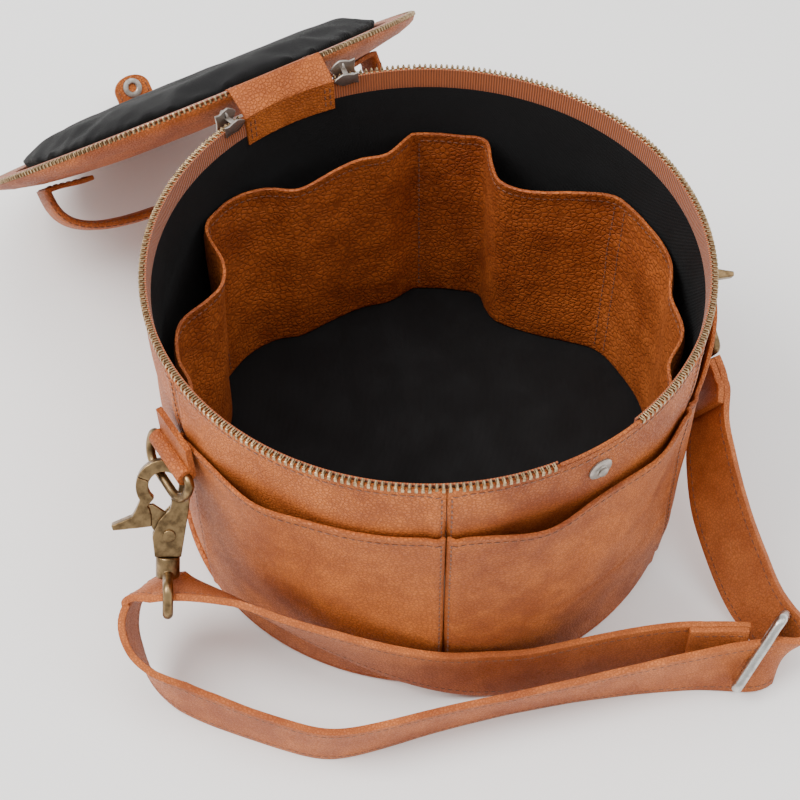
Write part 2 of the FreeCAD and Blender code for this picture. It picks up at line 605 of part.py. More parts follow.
def swivel_shape():
    """The strap loop with the barrel that turns on the hook's neck."""
    wire, width = size("swivel_wire"), size("strap_width + 2") + 2 * size("swivel_wire")
    depth = size("swivel_depth")
    loop = wire_loop(rounded_loop(width, depth / 2, depth / 2, 3.6, 3.6), wire)
    barrel_top = NECK_TOP - 0.4
    barrel_foot = NECK_TOP - NECK_LENGTH - 2.6
    centre = Vector(2, 0, barrel_foot - depth / 2 + 1.6)
    loop.Placement = Placement(centre, Rotation(Vector(0, 0, 1), 90))
    barrel = Part.makeCylinder(5.0, barrel_top - barrel_foot, Vector(2, 0, barrel_foot))
    bore = Part.makeCylinder(NECK_RADIUS + 0.08, 12, Vector(2, 0, barrel_top - 6.2))
    chamber = Part.makeCylinder(NECK_RADIUS + 1.6, 2.6, Vector(2, 0, NECK_TOP - NECK_LENGTH - 1.7))
    return barrel.fuse(loop).cut(bore).cut(chamber).removeSplitter()


def facing(down, face):
    """A rotation that points a hook's neck down one way and its flat face towards another."""
    down = Vector(down).normalize()
    face = Vector(face)
    face = (face - down * face.dot(down)).normalize()
    z_axis, y_axis = down * -1, face * -1
    x_axis = y_axis.cross(z_axis)
    return Rotation(x_axis, y_axis, z_axis, "ZYX")


HOOK_AIM = {"left": ((-0.38, -0.50, -0.78), (-0.29, -0.74, 0.61)),
            "right": ((-0.24, -0.84, -0.49), (0.206, 0.447, -0.87))}
# Where the ring's wire crosses the eye: degrees round the ring's front corner from its bottom,
# then how far the eye's centre is down the hook and outward of the wire.
HOOK_SEAT = {"left": (0.0, 2.0, 0.4), "right": (45.0, 2.1, 1.8)}
hook_places = {}
for name, (down, face) in HOOK_AIM.items():
    bar_spot, lean = ring_places[name]
    round_corner, drop, outward = HOOK_SEAT[name]
    turn = math.radians(round_corner)
    straight = size("ring_width") / 2 - RING_BOTTOM_CORNER if round_corner else 0.0
    wire_spot = bar_spot + lean.multVec(Vector(
        0, -straight - RING_BOTTOM_CORNER * math.sin(turn),
        RING_BOTTOM_CORNER * (1 - math.cos(turn)) - size("ring_drop")))
    aim = Vector(*down).normalize()
    off_wall = Vector(wire_spot.x, wire_spot.y, 0).normalize()
    place = Placement(wire_spot + aim * drop + off_wall * outward, facing(down, face))
    hook_places[name] = place
    shaped(f"snap_hook_{name}", hook_shape(), place)
    shaped(f"hook_gate_{name}", gate_shape(), place)
    shaped(f"hook_pin_{name}", pin_shape(), place)
    shaped(f"hook_swivel_{name}", swivel_shape(), place)

LOOP_DROP = -(NECK_TOP - NECK_LENGTH - 2.6 + 1.6) + size("swivel_depth") / 2
LOOP_END = LOOP_DROP + size("swivel_depth") / 2


def on_hook(name, down):
    """A point on a hook's long axis, at a distance below its eye's centre."""
    return hook_places[name].multVec(Vector(2, 0, -down))


def hook_axes(name):
    """The way down a hook and the wide way of its strap loop."""
    turn = hook_places[name].Rotation
    return turn.multVec(Vector(0, 0, -1)), turn.multVec(Vector(0, -1, 0))


# ---- shoulder strap ------------------------------------------------------------------------------------------------
# A flat band: each station is the middle of the band and the way its width points.  It starts
# sewn round the buckle's middle bar, leans on the drum up to the left hook's loop, turns, comes
# back along the floor, threads the buckle and climbs to the right hook's loop.

UPRIGHT = (0.0, 0.1, 1.0)
loop_left = on_hook("left", LOOP_DROP)
way_left, wide_left = hook_axes("left")
way_right, wide_right = hook_axes("right")
wide_right = wide_right * -1
strap_end = on_hook("right", LOOP_END + 2.5)
STRAP_OUT = [
    ((57, -171, 16), (0.35, 0.10, 0.93)), ((43, -158, 15), (0.10, 0.10, 1.0)),
    ((19, -145, 15), (0.15, 0.08, 0.98)), ((-4, -135.5, 15), UPRIGHT),
    ((-26, -127.5, 15), UPRIGHT), ((-48, -117.5, 18), UPRIGHT),
    ((-67, -107.5, 25), (0.0, -0.05, 1.0)), ((-85, -94.5, 34), (-0.10, -0.10, 1.0)),
    ((-101, -79.5, 42), (-0.15, -0.20, 0.97)), ((-115, -63, 47), (-0.20, -0.35, 0.92)),
    ((-127, -46, 50), (-0.22, -0.48, 0.85))]
STRAP_BACK = [
    ((-160, -15.5, 45), (-0.22, -0.48, 0.85)), ((-168, -20, 38), (-0.25, -0.35, 0.90)),
    ((-171.5, -31, 30), (-0.25, -0.20, 0.95)), ((-169, -44, 22), (-0.15, -0.05, 1.0)),
    ((-163, -55, 17), (-0.05, 0.0, 1.0)), ((-154, -68, 15), (0.0, -0.05, 1.0)),
    ((-144, -82, 15), (0.0, -0.10, 1.0)), ((-133, -96, 15), (0.0, -0.10, 1.0)),
    ((-121, -108, 15), (0.0, -0.12, 1.0)), ((-106, -115, 15), (0.0, -0.15, 1.0)),
    ((-78, -123.5, 15), (0.0, -0.20, 0.98)), ((-46, -134.5, 15), (0.0, -0.25, 0.97)),
    ((-18, -145, 15), (0.0, -0.22, 0.98)), ((8, -155.5, 15), (0.0, -0.12, 1.0)),
    ((34, -167, 15), (0.10, 0.0, 1.0)), ((52, -176.5, 15), (0.35, 0.08, 0.93))]
STRAP_CLIMB = [
    ((64, -181, 14), (0.50, 0.12, 0.85)), ((73.5, -178.5, 14), (0.50, -0.15, 0.85)),
    ((76, -169, 15), (0.38, -0.40, 0.83)), ((76, -156, 18), (0.42, -0.55, 0.72)),
    ((78.5, -139, 25.5), (0.45, -0.60, 0.66)), ((84, -116, 38), (0.42, -0.58, 0.70)),
    ((93, -96, 48.5), (0.30, -0.45, 0.82)), ((104, -81, 55), (0.12, -0.44, 0.86))]
stations = ([(Vector(*spot), Vector(*wide)) for spot, wide in STRAP_OUT]
            + [(loop_left, wide_left)]
            + [(Vector(*spot), Vector(*wide)) for spot, wide in STRAP_BACK + STRAP_CLIMB]
            + [(strap_end + way_right * 14, wide_right), (strap_end, wide_right)])
SECTION_STEP = 9.0


def band_frames(spots, width, thick):
    """Middle, width and face directions square to a smooth line, on or above the floor."""
    line = Part.BSplineCurve()
    line.interpolate([spot for spot, _ in spots])
    knots = [line.parameter(spot) for spot, _ in spots]
    count = int(line.length() / SECTION_STEP)
    frames = []
    for step in range(count + 1):
        at = line.parameterAtDistance(line.length() * min(step / count, 0.9999))
        leg = next((k for k in range(len(knots) - 1) if knots[k] <= at <= knots[k + 1]),
                   len(knots) - 2)
        share = (at - knots[leg]) / (knots[leg + 1] - knots[leg])
        along = Vector(*line.tangent(at)[0])
        wide = spots[leg][1].normalize() * (1 - share) + spots[leg + 1][1].normalize() * share
        wide = (wide - along * wide.dot(along)).normalize()
        face = along.cross(wide)
        middle = line.value(at)
        middle.z = max(middle.z, abs(wide.z) * width / 2 + abs(face.z) * thick / 2 + 0.2)
        frames.append((middle, wide, face))
    return frames, line.length()


def band(frames, width, thick, shift=0.0):
    """A band through the frames, moved along its own face by a shift."""
    wires = []
    for middle, wide, face in frames:
        corners = [middle + wide * (a * width / 2) + face * (b * thick / 2 + shift)
                   for a, b in ((-1, -1), (1, -1), (1, 1), (-1, 1))]
        wires.append(Part.makePolygon(corners + corners[:1]))
    return Part.makeLoft(wires, True, True)


BAND_SIZE = (size("strap_width"), size("strap_leather"))
strap_frames, strap_length = band_frames(stations, *BAND_SIZE)
shaped("shoulder_strap", band(strap_frames, *BAND_SIZE))
FOLD_FRAMES = 4         # sections of the strap that each sewn-back end covers
fold_shift = size("strap_leather") + 0.15
folds = []
for name, frames, shift in (("left", strap_frames[:FOLD_FRAMES], -fold_shift),
                            ("right", strap_frames[-FOLD_FRAMES:], -fold_shift)):
    fold = doc.addObject("Part::Feature", f"strap_fold_{name}")
    fold.Shape = band(frames, *BAND_SIZE, shift)
    folds.append(fold)
group("strap_folds", folds)

# ---- slide buckle ----------------------------------------------------------------------------------------------------------
# A three-bar slide: the near bar crosses the band's outer face, the sewn end wraps the middle bar.

BUCKLE_MIDDLE = Vector(60.4, -175.9, 19.6)
BUCKLE_WIDE = Vector(0.70, 0.18, 0.69)
BUCKLE_ACROSS = Vector(0.62, 0.32, -0.715)


def buckle_shape():
    wire, slot = size("buckle_wire"), size("buckle_slot")
    length = size("strap_width") + 3.0 + 2 * wire
    frame = wire_loop(rounded_loop(slot, length / 2, length / 2, 3.0, 3.0), wire)
    middle_bar = Part.makeCylinder(wire * 0.9, length, Vector(0, 0, -length / 2))
    return frame.fuse(middle_bar).removeSplitter()


wide_way = BUCKLE_WIDE.normalize()
across_way = (BUCKLE_ACROSS - wide_way * BUCKLE_ACROSS.dot(wide_way)).normalize()
shaped("slide_buckle", buckle_shape(),
       Placement(BUCKLE_MIDDLE, Rotation(across_way, wide_way.cross(across_way), wide_way, "ZXY")))

# ---- check and write ------------------------------------------------------------------------------------------------

doc.recompute()
faults = [f"{item.Name}: {state}" for item in doc.Objects for state in item.State
          if state in ("Invalid", "Error")]
for label, feature in pieces.items():
    if feature.Shape.isNull() or not feature.Shape.isValid() or not feature.Shape.Solids:
        faults.append(f"{label}: no valid shape")
if faults:
    raise RuntimeError("; ".join(faults))
os.makedirs("parts", exist_ok=True)
for label, feature in pieces.items():
    feature.Shape.exportStep(f"parts/{label}.step")
print(f"lid angle {LID_ANGLE:.2f}, hinge line {tuple(hinge_line)}, {len(pieces)} nodes")
print("joints", {
    "lid": tuple(hinge_line), "tab": tuple(lid_open.multVec(Vector(
        0, (tab_inside + tab_outside) / 2, tab_axis_height))),
    "handle": tuple(lid_open.multVec(handle_line)), "pull_radius": size(
        f"{INSIDE} + teeth_width + 0.6 + 2.2"), "pull_height": size("zip_height + 1") - 0.7,
    "ring_bar": ring_bar, "handle_gap": tuple(lid_open.multVec(Vector(0, 0, size(CROWN) + 14)))})
for name in hook_places:
    print("hook", name, tuple(on_hook(name, 0)), tuple(hook_axes(name)[0]),
          tuple(hook_places[name].multVec(PIVOT)), tuple(hook_axes(name)[1]))
print(f"strap {strap_length:.0f} mm, left loop {loop_left}, right end {strap_end}")
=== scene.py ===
# %% [markdown]
# # A round leather knitting bag
# The bag stands open: a tapered drum with a zip round its rim, a padded lid folded back on a
# leather hinge, and a shoulder strap that lies in front. The measured model is already there
# as a fixed frame, in metres, so this lesson only adds what leather, thread and cast metal
# look like. Sizes are written in millimetres and turned into metres in one place.

# %% The fixed frame
import json
import math

import bpy
from mathutils import Matrix, Vector, noise


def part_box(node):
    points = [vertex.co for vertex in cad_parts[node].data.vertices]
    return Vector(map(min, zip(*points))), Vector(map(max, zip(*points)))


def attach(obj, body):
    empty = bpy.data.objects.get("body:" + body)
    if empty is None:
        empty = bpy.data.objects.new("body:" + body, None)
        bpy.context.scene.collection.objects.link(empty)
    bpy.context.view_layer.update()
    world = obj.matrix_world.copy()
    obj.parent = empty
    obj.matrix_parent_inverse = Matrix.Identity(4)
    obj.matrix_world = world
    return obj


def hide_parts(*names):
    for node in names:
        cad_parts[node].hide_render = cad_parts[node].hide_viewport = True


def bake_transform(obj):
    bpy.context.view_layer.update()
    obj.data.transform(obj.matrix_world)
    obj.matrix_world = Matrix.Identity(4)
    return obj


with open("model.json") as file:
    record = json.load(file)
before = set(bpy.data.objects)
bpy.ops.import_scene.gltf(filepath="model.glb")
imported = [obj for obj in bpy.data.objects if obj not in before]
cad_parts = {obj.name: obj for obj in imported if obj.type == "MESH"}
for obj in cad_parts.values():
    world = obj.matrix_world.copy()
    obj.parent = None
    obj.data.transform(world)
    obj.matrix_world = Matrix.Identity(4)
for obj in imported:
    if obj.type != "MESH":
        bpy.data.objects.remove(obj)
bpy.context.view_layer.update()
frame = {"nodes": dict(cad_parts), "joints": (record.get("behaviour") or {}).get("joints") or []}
nodes = frame["nodes"]
MM = 0.001

# %% [markdown]
# ## Sizes that everything shares
# The drum is a cone so slight that it looks like a cylinder. A bearing is an angle from the
# front of the bag, positive towards the right. The lid's pieces are made as if the bag were
# shut, where they are flat and round, and then swung open about the hinge line.

# %% Sizes of the bag
FOOT, TOP = (edge.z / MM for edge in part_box("front_panel"))
RIM_RADIUS = -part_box("front_panel")[0].y / MM
BASE_RADIUS = RIM_RADIUS - 2.0
ZIP_PLANE = TOP + 3.0
LID_EDGE = ZIP_PLANE + 3.0
HINGE = Vector(next(j for j in frame["joints"] if j["name"] == "lid_hinge")["pos_m"]) / MM
LID_FOLD = math.radians(-221.05)
LID_OPEN = (Matrix.Translation(HINGE) @ Matrix.Rotation(LID_FOLD, 4, "X")
            @ Matrix.Translation(-HINGE))
SEAM_EVERY = 60.0
TAPE_INNER = 106.3


def on_bearing(radius, bearing, height):
    """A point at a distance from the drum's axis, in a direction, at a height."""
    angle = math.radians(bearing - 90.0)
    return Vector((radius * math.cos(angle), radius * math.sin(angle), height))


def wall_radius(height):
    """Outside of the leather wall at a height."""
    return BASE_RADIUS + (RIM_RADIUS - BASE_RADIUS) * (height - FOOT) / (TOP - FOOT)


def eased(spots, at):
    """A smooth curve through (place, value) spots, level before the first and after the last."""
    if at <= spots[0][0]:
        return spots[0][1]
    for (a, low), (b, high) in zip(spots, spots[1:]):
        if at <= b:
            share = (at - a) / (b - a)
            return low + (high - low) * share * share * (3 - 2 * share)
    return spots[-1][1]


def flowing(spots, at):
    """A smooth curve through (place, value) spots that doesn't stop at each one."""
    leg = max(k for k in range(len(spots) - 1) if spots[k][0] <= at or k == 0)
    (a, low), (b, high) = spots[leg], spots[leg + 1]
    before, after = spots[max(leg - 1, 0)], spots[min(leg + 2, len(spots) - 1)]
    span = b - a
    rise = (high - before[1]) / max(b - before[0], 1e-6) * span
    fall = (after[1] - low) / max(after[0] - a, 1e-6) * span
    t = min(1.0, max(0.0, (at - a) / span))
    return (low * (2 * t ** 3 - 3 * t ** 2 + 1) + rise * (t ** 3 - 2 * t ** 2 + t)
            + high * (3 * t ** 2 - 2 * t ** 3) + fall * (t ** 3 - t ** 2))


def hump(at, middle, spread):
    """A soft bump: 1 at its middle, close to 0 beyond twice its spread."""
    return math.exp(-((at - middle) / spread) ** 2)


print(f"wall {FOOT:.1f} to {TOP:.1f} mm high, rim radius {RIM_RADIUS:.1f} mm")

# %% [markdown]
# ## Building blocks
# Leather, tape and strap are all thin sheets that follow a surface. Each one starts as a flat
# grid, which has tidy rows and its own UV map. The grid is bent into place by a function that
# says where each row and column goes, and a Solidify modifier then gives it its real thickness.
# A Bevel on its edges catches the light as cut leather does.

# %% Helpers for sheets and modifiers
def deselect():
    if bpy.context.object and bpy.context.object.mode != "OBJECT":
        bpy.ops.object.mode_set(mode="OBJECT")
    bpy.ops.object.select_all(action="DESELECT")


def choose(piece):
    deselect()
    piece.select_set(True)
    bpy.context.view_layer.objects.active = piece


def finish_with(piece, kind, **settings):
    """Adds a modifier and applies it."""
    choose(piece)
    modifier = piece.modifiers.new(kind.title(), kind)
    for name, value in settings.items():
        setattr(modifier, name, value)
    bpy.ops.object.modifier_apply(modifier=modifier.name)


def place_with(piece, matrix):
    """Moves a piece by a matrix in millimetres and writes the place into its mesh."""
    shift = matrix.copy()
    shift.translation = matrix.translation * MM
    choose(piece)
    piece.matrix_world = shift @ piece.matrix_world
    bpy.ops.object.transform_apply(location=True, rotation=True, scale=True)


def tidy_mesh(piece, merge=0.02):
    """Closes doubled edges and points every face outwards."""
    choose(piece)
    bpy.ops.object.mode_set(mode="EDIT")
    bpy.ops.mesh.select_all(action="SELECT")
    bpy.ops.mesh.remove_doubles(threshold=merge * MM)
    bpy.ops.mesh.normals_make_consistent(inside=False)
    bpy.ops.object.mode_set(mode="OBJECT")


def turn_inside_out(piece):
    choose(piece)
    bpy.ops.object.mode_set(mode="EDIT")
    bpy.ops.mesh.select_all(action="SELECT")
    bpy.ops.mesh.flip_normals()
    bpy.ops.object.mode_set(mode="OBJECT")


def stands_for(piece, slot, *replaced):
    """Hides the CAD nodes that a piece stands for; the piece itself and the slot are not used."""
    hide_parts(*replaced)


def finished(piece, body, finishes, smooth_angle=35):
    """Smooth shading, materials and the body that the piece moves with."""
    choose(piece)
    bpy.ops.object.shade_smooth_by_angle(angle=math.radians(smooth_angle))
    piece.data.materials.clear()
    for finish in finishes:
        piece.data.materials.append(finish)
    if body:
        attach(piece, body)
    return piece


def sheet(name, columns, rows, place, real, thick=0.0, offset=-1.0, edge=0.0, closed=False,
          move=None):
    """A grid bent into place by place(u, v), with its UV map in real millimetres."""
    deselect()
    bpy.ops.mesh.primitive_grid_add(x_subdivisions=columns, y_subdivisions=rows, size=2,
                                    location=(0, 0, 0))
    piece = bpy.context.object
    piece.name = name
    for loop in piece.data.uv_layers[0].data:
        loop.uv = (loop.uv[0] * real[0] * MM, loop.uv[1] * real[1] * MM)
    for vertex in piece.data.vertices:
        u, v = (vertex.co.x + 1) / 2, (vertex.co.y + 1) / 2
        vertex.co = place(u, v) * MM
    if closed:
        choose(piece)
        bpy.ops.object.mode_set(mode="EDIT")
        bpy.ops.mesh.select_all(action="SELECT")
        bpy.ops.mesh.remove_doubles(threshold=0.01 * MM)
        bpy.ops.object.mode_set(mode="OBJECT")
    if thick:
        finish_with(piece, "SOLIDIFY", thickness=thick * MM, offset=offset,
                    use_even_offset=True, use_rim=True, material_offset_rim=1 if edge else 0)
        if edge:
            finish_with(piece, "BEVEL", width=edge * MM, segments=2, limit_method="ANGLE",
                        angle_limit=math.radians(50), use_clamp_overlap=True)
    if move is not None:
        place_with(piece, move)
    return piece


# %% [markdown]
# ### Sewing
# A row of stitching is one stitch, modelled once and set down again and again along a line on
# a surface. The line is given by the same function that bends the sheet, so the thread always
# lies in the leather. All the rows that move together are gathered into one mesh.

# %% One stitch, and rows of it
deselect()
bpy.ops.mesh.primitive_uv_sphere_add(segments=6, ring_count=5, radius=0.5,
                                     rotation=(0, math.pi / 2, 0))
bpy.ops.object.transform_apply(location=True, rotation=True, scale=True)
stitch = bpy.context.object
STITCH_POINTS = [vertex.co.copy() for vertex in stitch.data.vertices]
STITCH_FACES = [tuple(face.vertices) for face in stitch.data.polygons]
bpy.data.objects.remove(stitch)
STITCH_PITCH, STITCH_LENGTH, STITCH_WIDE, STITCH_HIGH = 3.3, 2.6, 0.8, 0.6


def surface_spot(place, u, v, lift):
    """Point and normal of a bent sheet at (u, v), lifted off it."""
    tiny = 0.002
    here = place(u, v)
    along = place(min(u + tiny, 1), v) - place(max(u - tiny, 0), v)
    up = place(u, min(v + tiny, 1)) - place(u, max(v - tiny, 0))
    normal = along.cross(up).normalized()
    return here + normal * lift, normal


def row_of(place, line, lift=0.0, pitch=STITCH_PITCH, steps=240, trim=1.5):
    """Places for stitches along line(t) -> (u, v), as (middle, along, normal)."""
    spots = [surface_spot(place, *line(step / steps), lift) for step in range(steps + 1)]
    gone, marks = 0.0, [0.0]
    for (a, _), (b, _) in zip(spots, spots[1:]):
        gone += (b - a).length
        marks.append(gone)
    count = int((gone - 2 * trim) / pitch)
    places, leg = [], 0
    for number in range(count):
        at = trim + (number + 0.5) * (gone - 2 * trim) / count
        while marks[leg + 1] < at:
            leg += 1
        share = (at - marks[leg]) / max(marks[leg + 1] - marks[leg], 1e-6)
        middle = spots[leg][0].lerp(spots[leg + 1][0], share)
        along = (spots[leg + 1][0] - spots[leg][0]).normalized()
        places.append((middle, along, spots[leg][1]))
    return places


def copies(name, points, faces, frames):
    """One mesh from many placed copies of a small shape; frames are 4 by 4 matrices in mm."""
    spots, corners = [], []
    for matrix in frames:
        first = len(spots)
        spots.extend((matrix @ point) * MM for point in points)
        corners.extend(tuple(first + index for index in face) for face in faces)
    mesh = bpy.data.meshes.new(name)
    mesh.from_pydata(spots, [], corners)
    piece = bpy.data.objects.new(name, mesh)
    bpy.context.scene.collection.objects.link(piece)
    return piece


def sewn(name, body, rows, finish, move=None):
    """Rows of stitches as one piece that moves with a body."""
    frames = []
    for row in rows:
        for middle, along, normal in row:
            side = normal.cross(along).normalized()
            turn = Matrix((along, side, normal)).transposed().to_4x4()
            size = Matrix.Diagonal((STITCH_LENGTH, STITCH_WIDE, STITCH_HIGH, 1))
            frames.append(Matrix.Translation(middle) @ turn @ size)
    piece = copies(name, STITCH_POINTS, STITCH_FACES, frames)
    if move is not None:
        place_with(piece, move)
    finished(piece, body, [finish], smooth_angle=80)
    print(name, len(frames), "stitches")
    return piece


# %% [markdown]
# ## Finishes
# Every finish is a small sum in the shader. To write the sums as plain arithmetic, one class
# wraps an output socket, so that `height * 0.5 + grain` adds the Math nodes by itself.

# %% Shader sums as expressions
class Wire:
    """An output socket that can be added, multiplied and bent with ordinary operators."""

    def __init__(self, finish, socket):
        self.finish, self.socket = finish, socket

    def maths(self, operation, *others):
        return self.finish.node("ShaderNodeMath", {"operation": operation},
                                dict(enumerate((self,) + others)))

    def __add__(self, other):
        return self.maths("ADD", other)

    def __sub__(self, other):
        return self.maths("SUBTRACT", other)

    def __rsub__(self, other):
        return (self * -1) + other

    def __mul__(self, other):
        return self.maths("MULTIPLY", other)

    __radd__, __rmul__ = __add__, __mul__

    def wave(self):
        return self.maths("SINE")

    def ramp(self, low, high):
        """0 below low, 1 above high, smooth between."""
        return self.finish.node("ShaderNodeMapRange", {"interpolation_type": "SMOOTHSTEP"},
                                {"Value": self, "From Min": low, "From Max": high})


def ink(red, green, blue):
    """A display colour, 0 to 255, as the linear colour that shaders work in."""
    return tuple(((c / 255 + 0.055) / 1.055) ** 2.4 if c > 10 else c / 255 / 12.92
                 for c in (red, green, blue)) + (1.0,)


class Finish:
    """A node material: a Principled shader and the nodes that feed it."""

    def __init__(self, name, **sockets):
        self.material = bpy.data.materials.new(name)
        self.material.use_nodes = True
        self.tree = self.material.node_tree
        self.shader = self.tree.nodes["Principled BSDF"]
        for socket, value in sockets.items():
            self.shader.inputs[socket.replace("_", " ")].default_value = value

    def node(self, kind, settings=None, inputs=None, output=0):
        made = self.tree.nodes.new(kind)
        for name, value in (settings or {}).items():
            setattr(made, name, value)
        for key, value in (inputs or {}).items():
            self.plug(made.inputs[key], value)
        return Wire(self, made.outputs[output])

    def plug(self, socket, value):
        if isinstance(value, Wire):
            self.tree.links.new(value.socket, socket)
        else:
            socket.default_value = value

    def feed(self, socket, value):
        self.plug(self.shader.inputs[socket], value)

    def place(self, kind="Object"):
        return self.node("ShaderNodeTexCoord", output=("Generated", "Normal", "UV",
                                                       "Object").index(kind))

    def part(self, vector, axis):
        return self.node("ShaderNodeSeparateXYZ", None, {0: vector}, output="XYZ".index(axis))

    def grain(self, per_mm, detail=3.0, rough=0.55, where=None):
        """Noise with so many features in a millimetre, from 0 to 1."""
        return self.node("ShaderNodeTexNoise", None,
                         {"Vector": where or self.place(), "Scale": per_mm / MM,
                          "Detail": detail, "Roughness": rough})

    def cells(self, per_mm, feature="F1", where=None):
        return self.node("ShaderNodeTexVoronoi", {"feature": feature},
                         {"Vector": where or self.place(), "Scale": per_mm / MM})

    def blend(self, share, first, second):
        made = self.tree.nodes.new("ShaderNodeMix")
        made.data_type = "RGBA"
        for index, value in ((0, share), (6, first), (7, second)):
            self.plug(made.inputs[index], value)
        return Wire(self, made.outputs[2])

    def relief(self, height, depth_mm, strength=1.0):
        """Feeds the shader's normal with a bump of so many millimetres."""
        bump = self.node("ShaderNodeBump", None,
                         {"Strength": strength, "Distance": depth_mm * MM, "Height": height})
        self.feed("Normal", bump)


# %% [markdown]
# ### Leather
# The bag is pebbled cowhide: small rounded grains with creases between them, a colour that
# wanders from patch to patch, and a soft shine on the tops of the grains. Voronoi cells give
# the grains: the distance to the nearest cell edge is the crease, and painted shade darkens the
# colour there. Three hides are needed, a little different in grain and colour.

# %% Leather, raw edges and thread
def hide(name, light, dark, grains, rough=0.5, depth=0.22):
    skin = Finish(name, Coat_Weight=0.04, Coat_Roughness=0.4, Specular_IOR_Level=0.32)
    warp = skin.node("ShaderNodeVectorMath", {"operation": "MULTIPLY_ADD"},
                     {0: skin.node("ShaderNodeTexNoise", None,
                                   {"Vector": skin.place(), "Scale": 350.0}, output=1),
                      1: (0.0007,) * 3, 2: skin.place()})
    crease = skin.cells(grains, "DISTANCE_TO_EDGE", warp).ramp(0.0, 0.22)
    fine = skin.grain(2.4, detail=2.0)
    patch = skin.grain(0.018, detail=4.0).ramp(0.3, 0.72)
    blotch = skin.grain(0.09, detail=3.0).ramp(0.32, 0.75)
    colour = skin.blend(patch * 0.6 + blotch * 0.4, dark, light)
    # Painted shade: the colour is darkened in the creases between the grains.
    colour = skin.blend((1 - crease) * 0.42, colour, (dark[0] * 0.45, dark[1] * 0.4,
                                                      dark[2] * 0.4, 1))
    skin.feed("Base Color", colour)
    skin.feed("Roughness", (1 - crease) * 0.18 + fine * 0.1 + (rough - 0.05))
    skin.relief(crease * 0.8 + fine * 0.2 + blotch * 0.4, depth)
    return skin.material


LEATHER = hide("tan_leather", ink(202, 112, 46), ink(138, 64, 20), 0.62, depth=0.3)
POCKET_LEATHER = hide("pocket_leather", ink(198, 108, 48), ink(138, 64, 22), 0.36, depth=0.4)
STRAP_LEATHER = hide("strap_leather", ink(206, 118, 58), ink(154, 76, 30), 0.75, depth=0.22)


def cut_edge(name, colour, dark):
    """The side of cut leather: fibrous and dull."""
    side = Finish(name, Specular_IOR_Level=0.3)
    fibre = side.grain(1.6, detail=4.0)
    side.feed("Base Color", side.blend(fibre, dark, colour))
    side.feed("Roughness", fibre * 0.2 + 0.68)
    side.relief(fibre, 0.15)
    return side.material


RAW_EDGE = cut_edge("raw_edge", ink(206, 158, 116), ink(150, 100, 62))
DYED_EDGE = cut_edge("dyed_edge", ink(150, 84, 42), ink(104, 54, 24))


def thread(name, light, dark):
    """Waxed thread: two plies show as a twist along each stitch."""
    twine = Finish(name, Sheen_Weight=0.2)
    ply = (twine.grain(1.2, detail=2.0) * 9.0).wave() * 0.5 + 0.5
    twine.feed("Base Color", twine.blend(ply, dark, light))
    twine.feed("Roughness", ply * 0.15 + 0.5)
    twine.relief(ply, 0.08)
    return twine.material


TAN_THREAD = thread("tan_thread", ink(176, 104, 54), ink(96, 48, 20))
BLACK_THREAD = thread("black_thread", ink(46, 44, 44), ink(14, 14, 14))

# %% [markdown]
# ### Cloth
# The lining is black twill: its diagonal ribs are a wave across the sum of two directions.
# The zip tape is woven rust-brown with one rib for each pair of teeth, so its wave runs along
# the tape only. On the lid's pad the two directions are the lid's own plane.

# %% Twill and zip tape
def twill(name, across, along):
    cloth = Finish(name, Sheen_Weight=0.02, Sheen_Roughness=0.5, Specular_IOR_Level=0.16)
    rib = ((across(cloth) + along(cloth)) * (2 * math.pi / (0.9 * MM))).wave() * 0.5 + 0.5
    yarn = ((across(cloth) - along(cloth)) * (2 * math.pi / (0.45 * MM))).wave() * 0.5 + 0.5
    lint = cloth.grain(0.05, detail=5.0).ramp(0.35, 0.8)
    dust = cloth.grain(2.0, detail=1.0).ramp(0.7, 0.8)
    colour = cloth.blend(rib * 0.6 + lint * 0.4, ink(6, 6, 7), ink(30, 30, 31))
    cloth.feed("Base Color", cloth.blend(dust * 0.12, colour, ink(80, 78, 76)))
    cloth.feed("Roughness", lint * 0.2 + 0.58)
    cloth.relief(rib * 0.7 + yarn * 0.3 + cloth.grain(0.035, detail=2.0) * 2.2, 0.4)
    return cloth.material


def from_uv(axis):
    return lambda cloth: cloth.part(cloth.place("UV"), axis)


LID_ALONG = (LID_OPEN.to_3x3() @ Vector((0, 1, 0))).normalized()
WALL_TWILL = twill("lining_twill", from_uv("X"), from_uv("Y"))
PAD_TWILL = twill("pad_twill", lambda cloth: cloth.part(cloth.place(), "X"),
                  lambda cloth: cloth.node("ShaderNodeVectorMath", {"operation": "DOT_PRODUCT"},
                                           {0: cloth.place(), 1: tuple(LID_ALONG)}, output=1))
FLOOR_TWILL = twill("floor_twill", lambda cloth: cloth.part(cloth.place(), "X"),
                    lambda cloth: cloth.part(cloth.place(), "Y"))


def woven_tape():
    tape = Finish("zip_tape", Sheen_Weight=0.25, Specular_IOR_Level=0.3)
    rib = (tape.part(tape.place("UV"), "X") * (2 * math.pi / (1.27 * MM))).wave() * 0.5 + 0.5
    slub = tape.grain(1.1, detail=3.0)
    tape.feed("Base Color", tape.blend(rib * 0.7 + slub * 0.3, ink(104, 50, 20),
                                       ink(186, 98, 46)))
    tape.feed("Roughness", slub * 0.2 + 0.6)
    tape.relief(rib + slub * 0.3, 0.35)
    return tape.material


TAPE = woven_tape()

# %% [markdown]
# ### Metal
# The zip is antique brass, dark in its hollows and rubbed bright on top; the hooks and rings
# are plated a darker bronze; the buckle is bright nickel and the sliders are gunmetal. Noise
# stands for tarnish and fingermarks: it changes the colour and the roughness together.

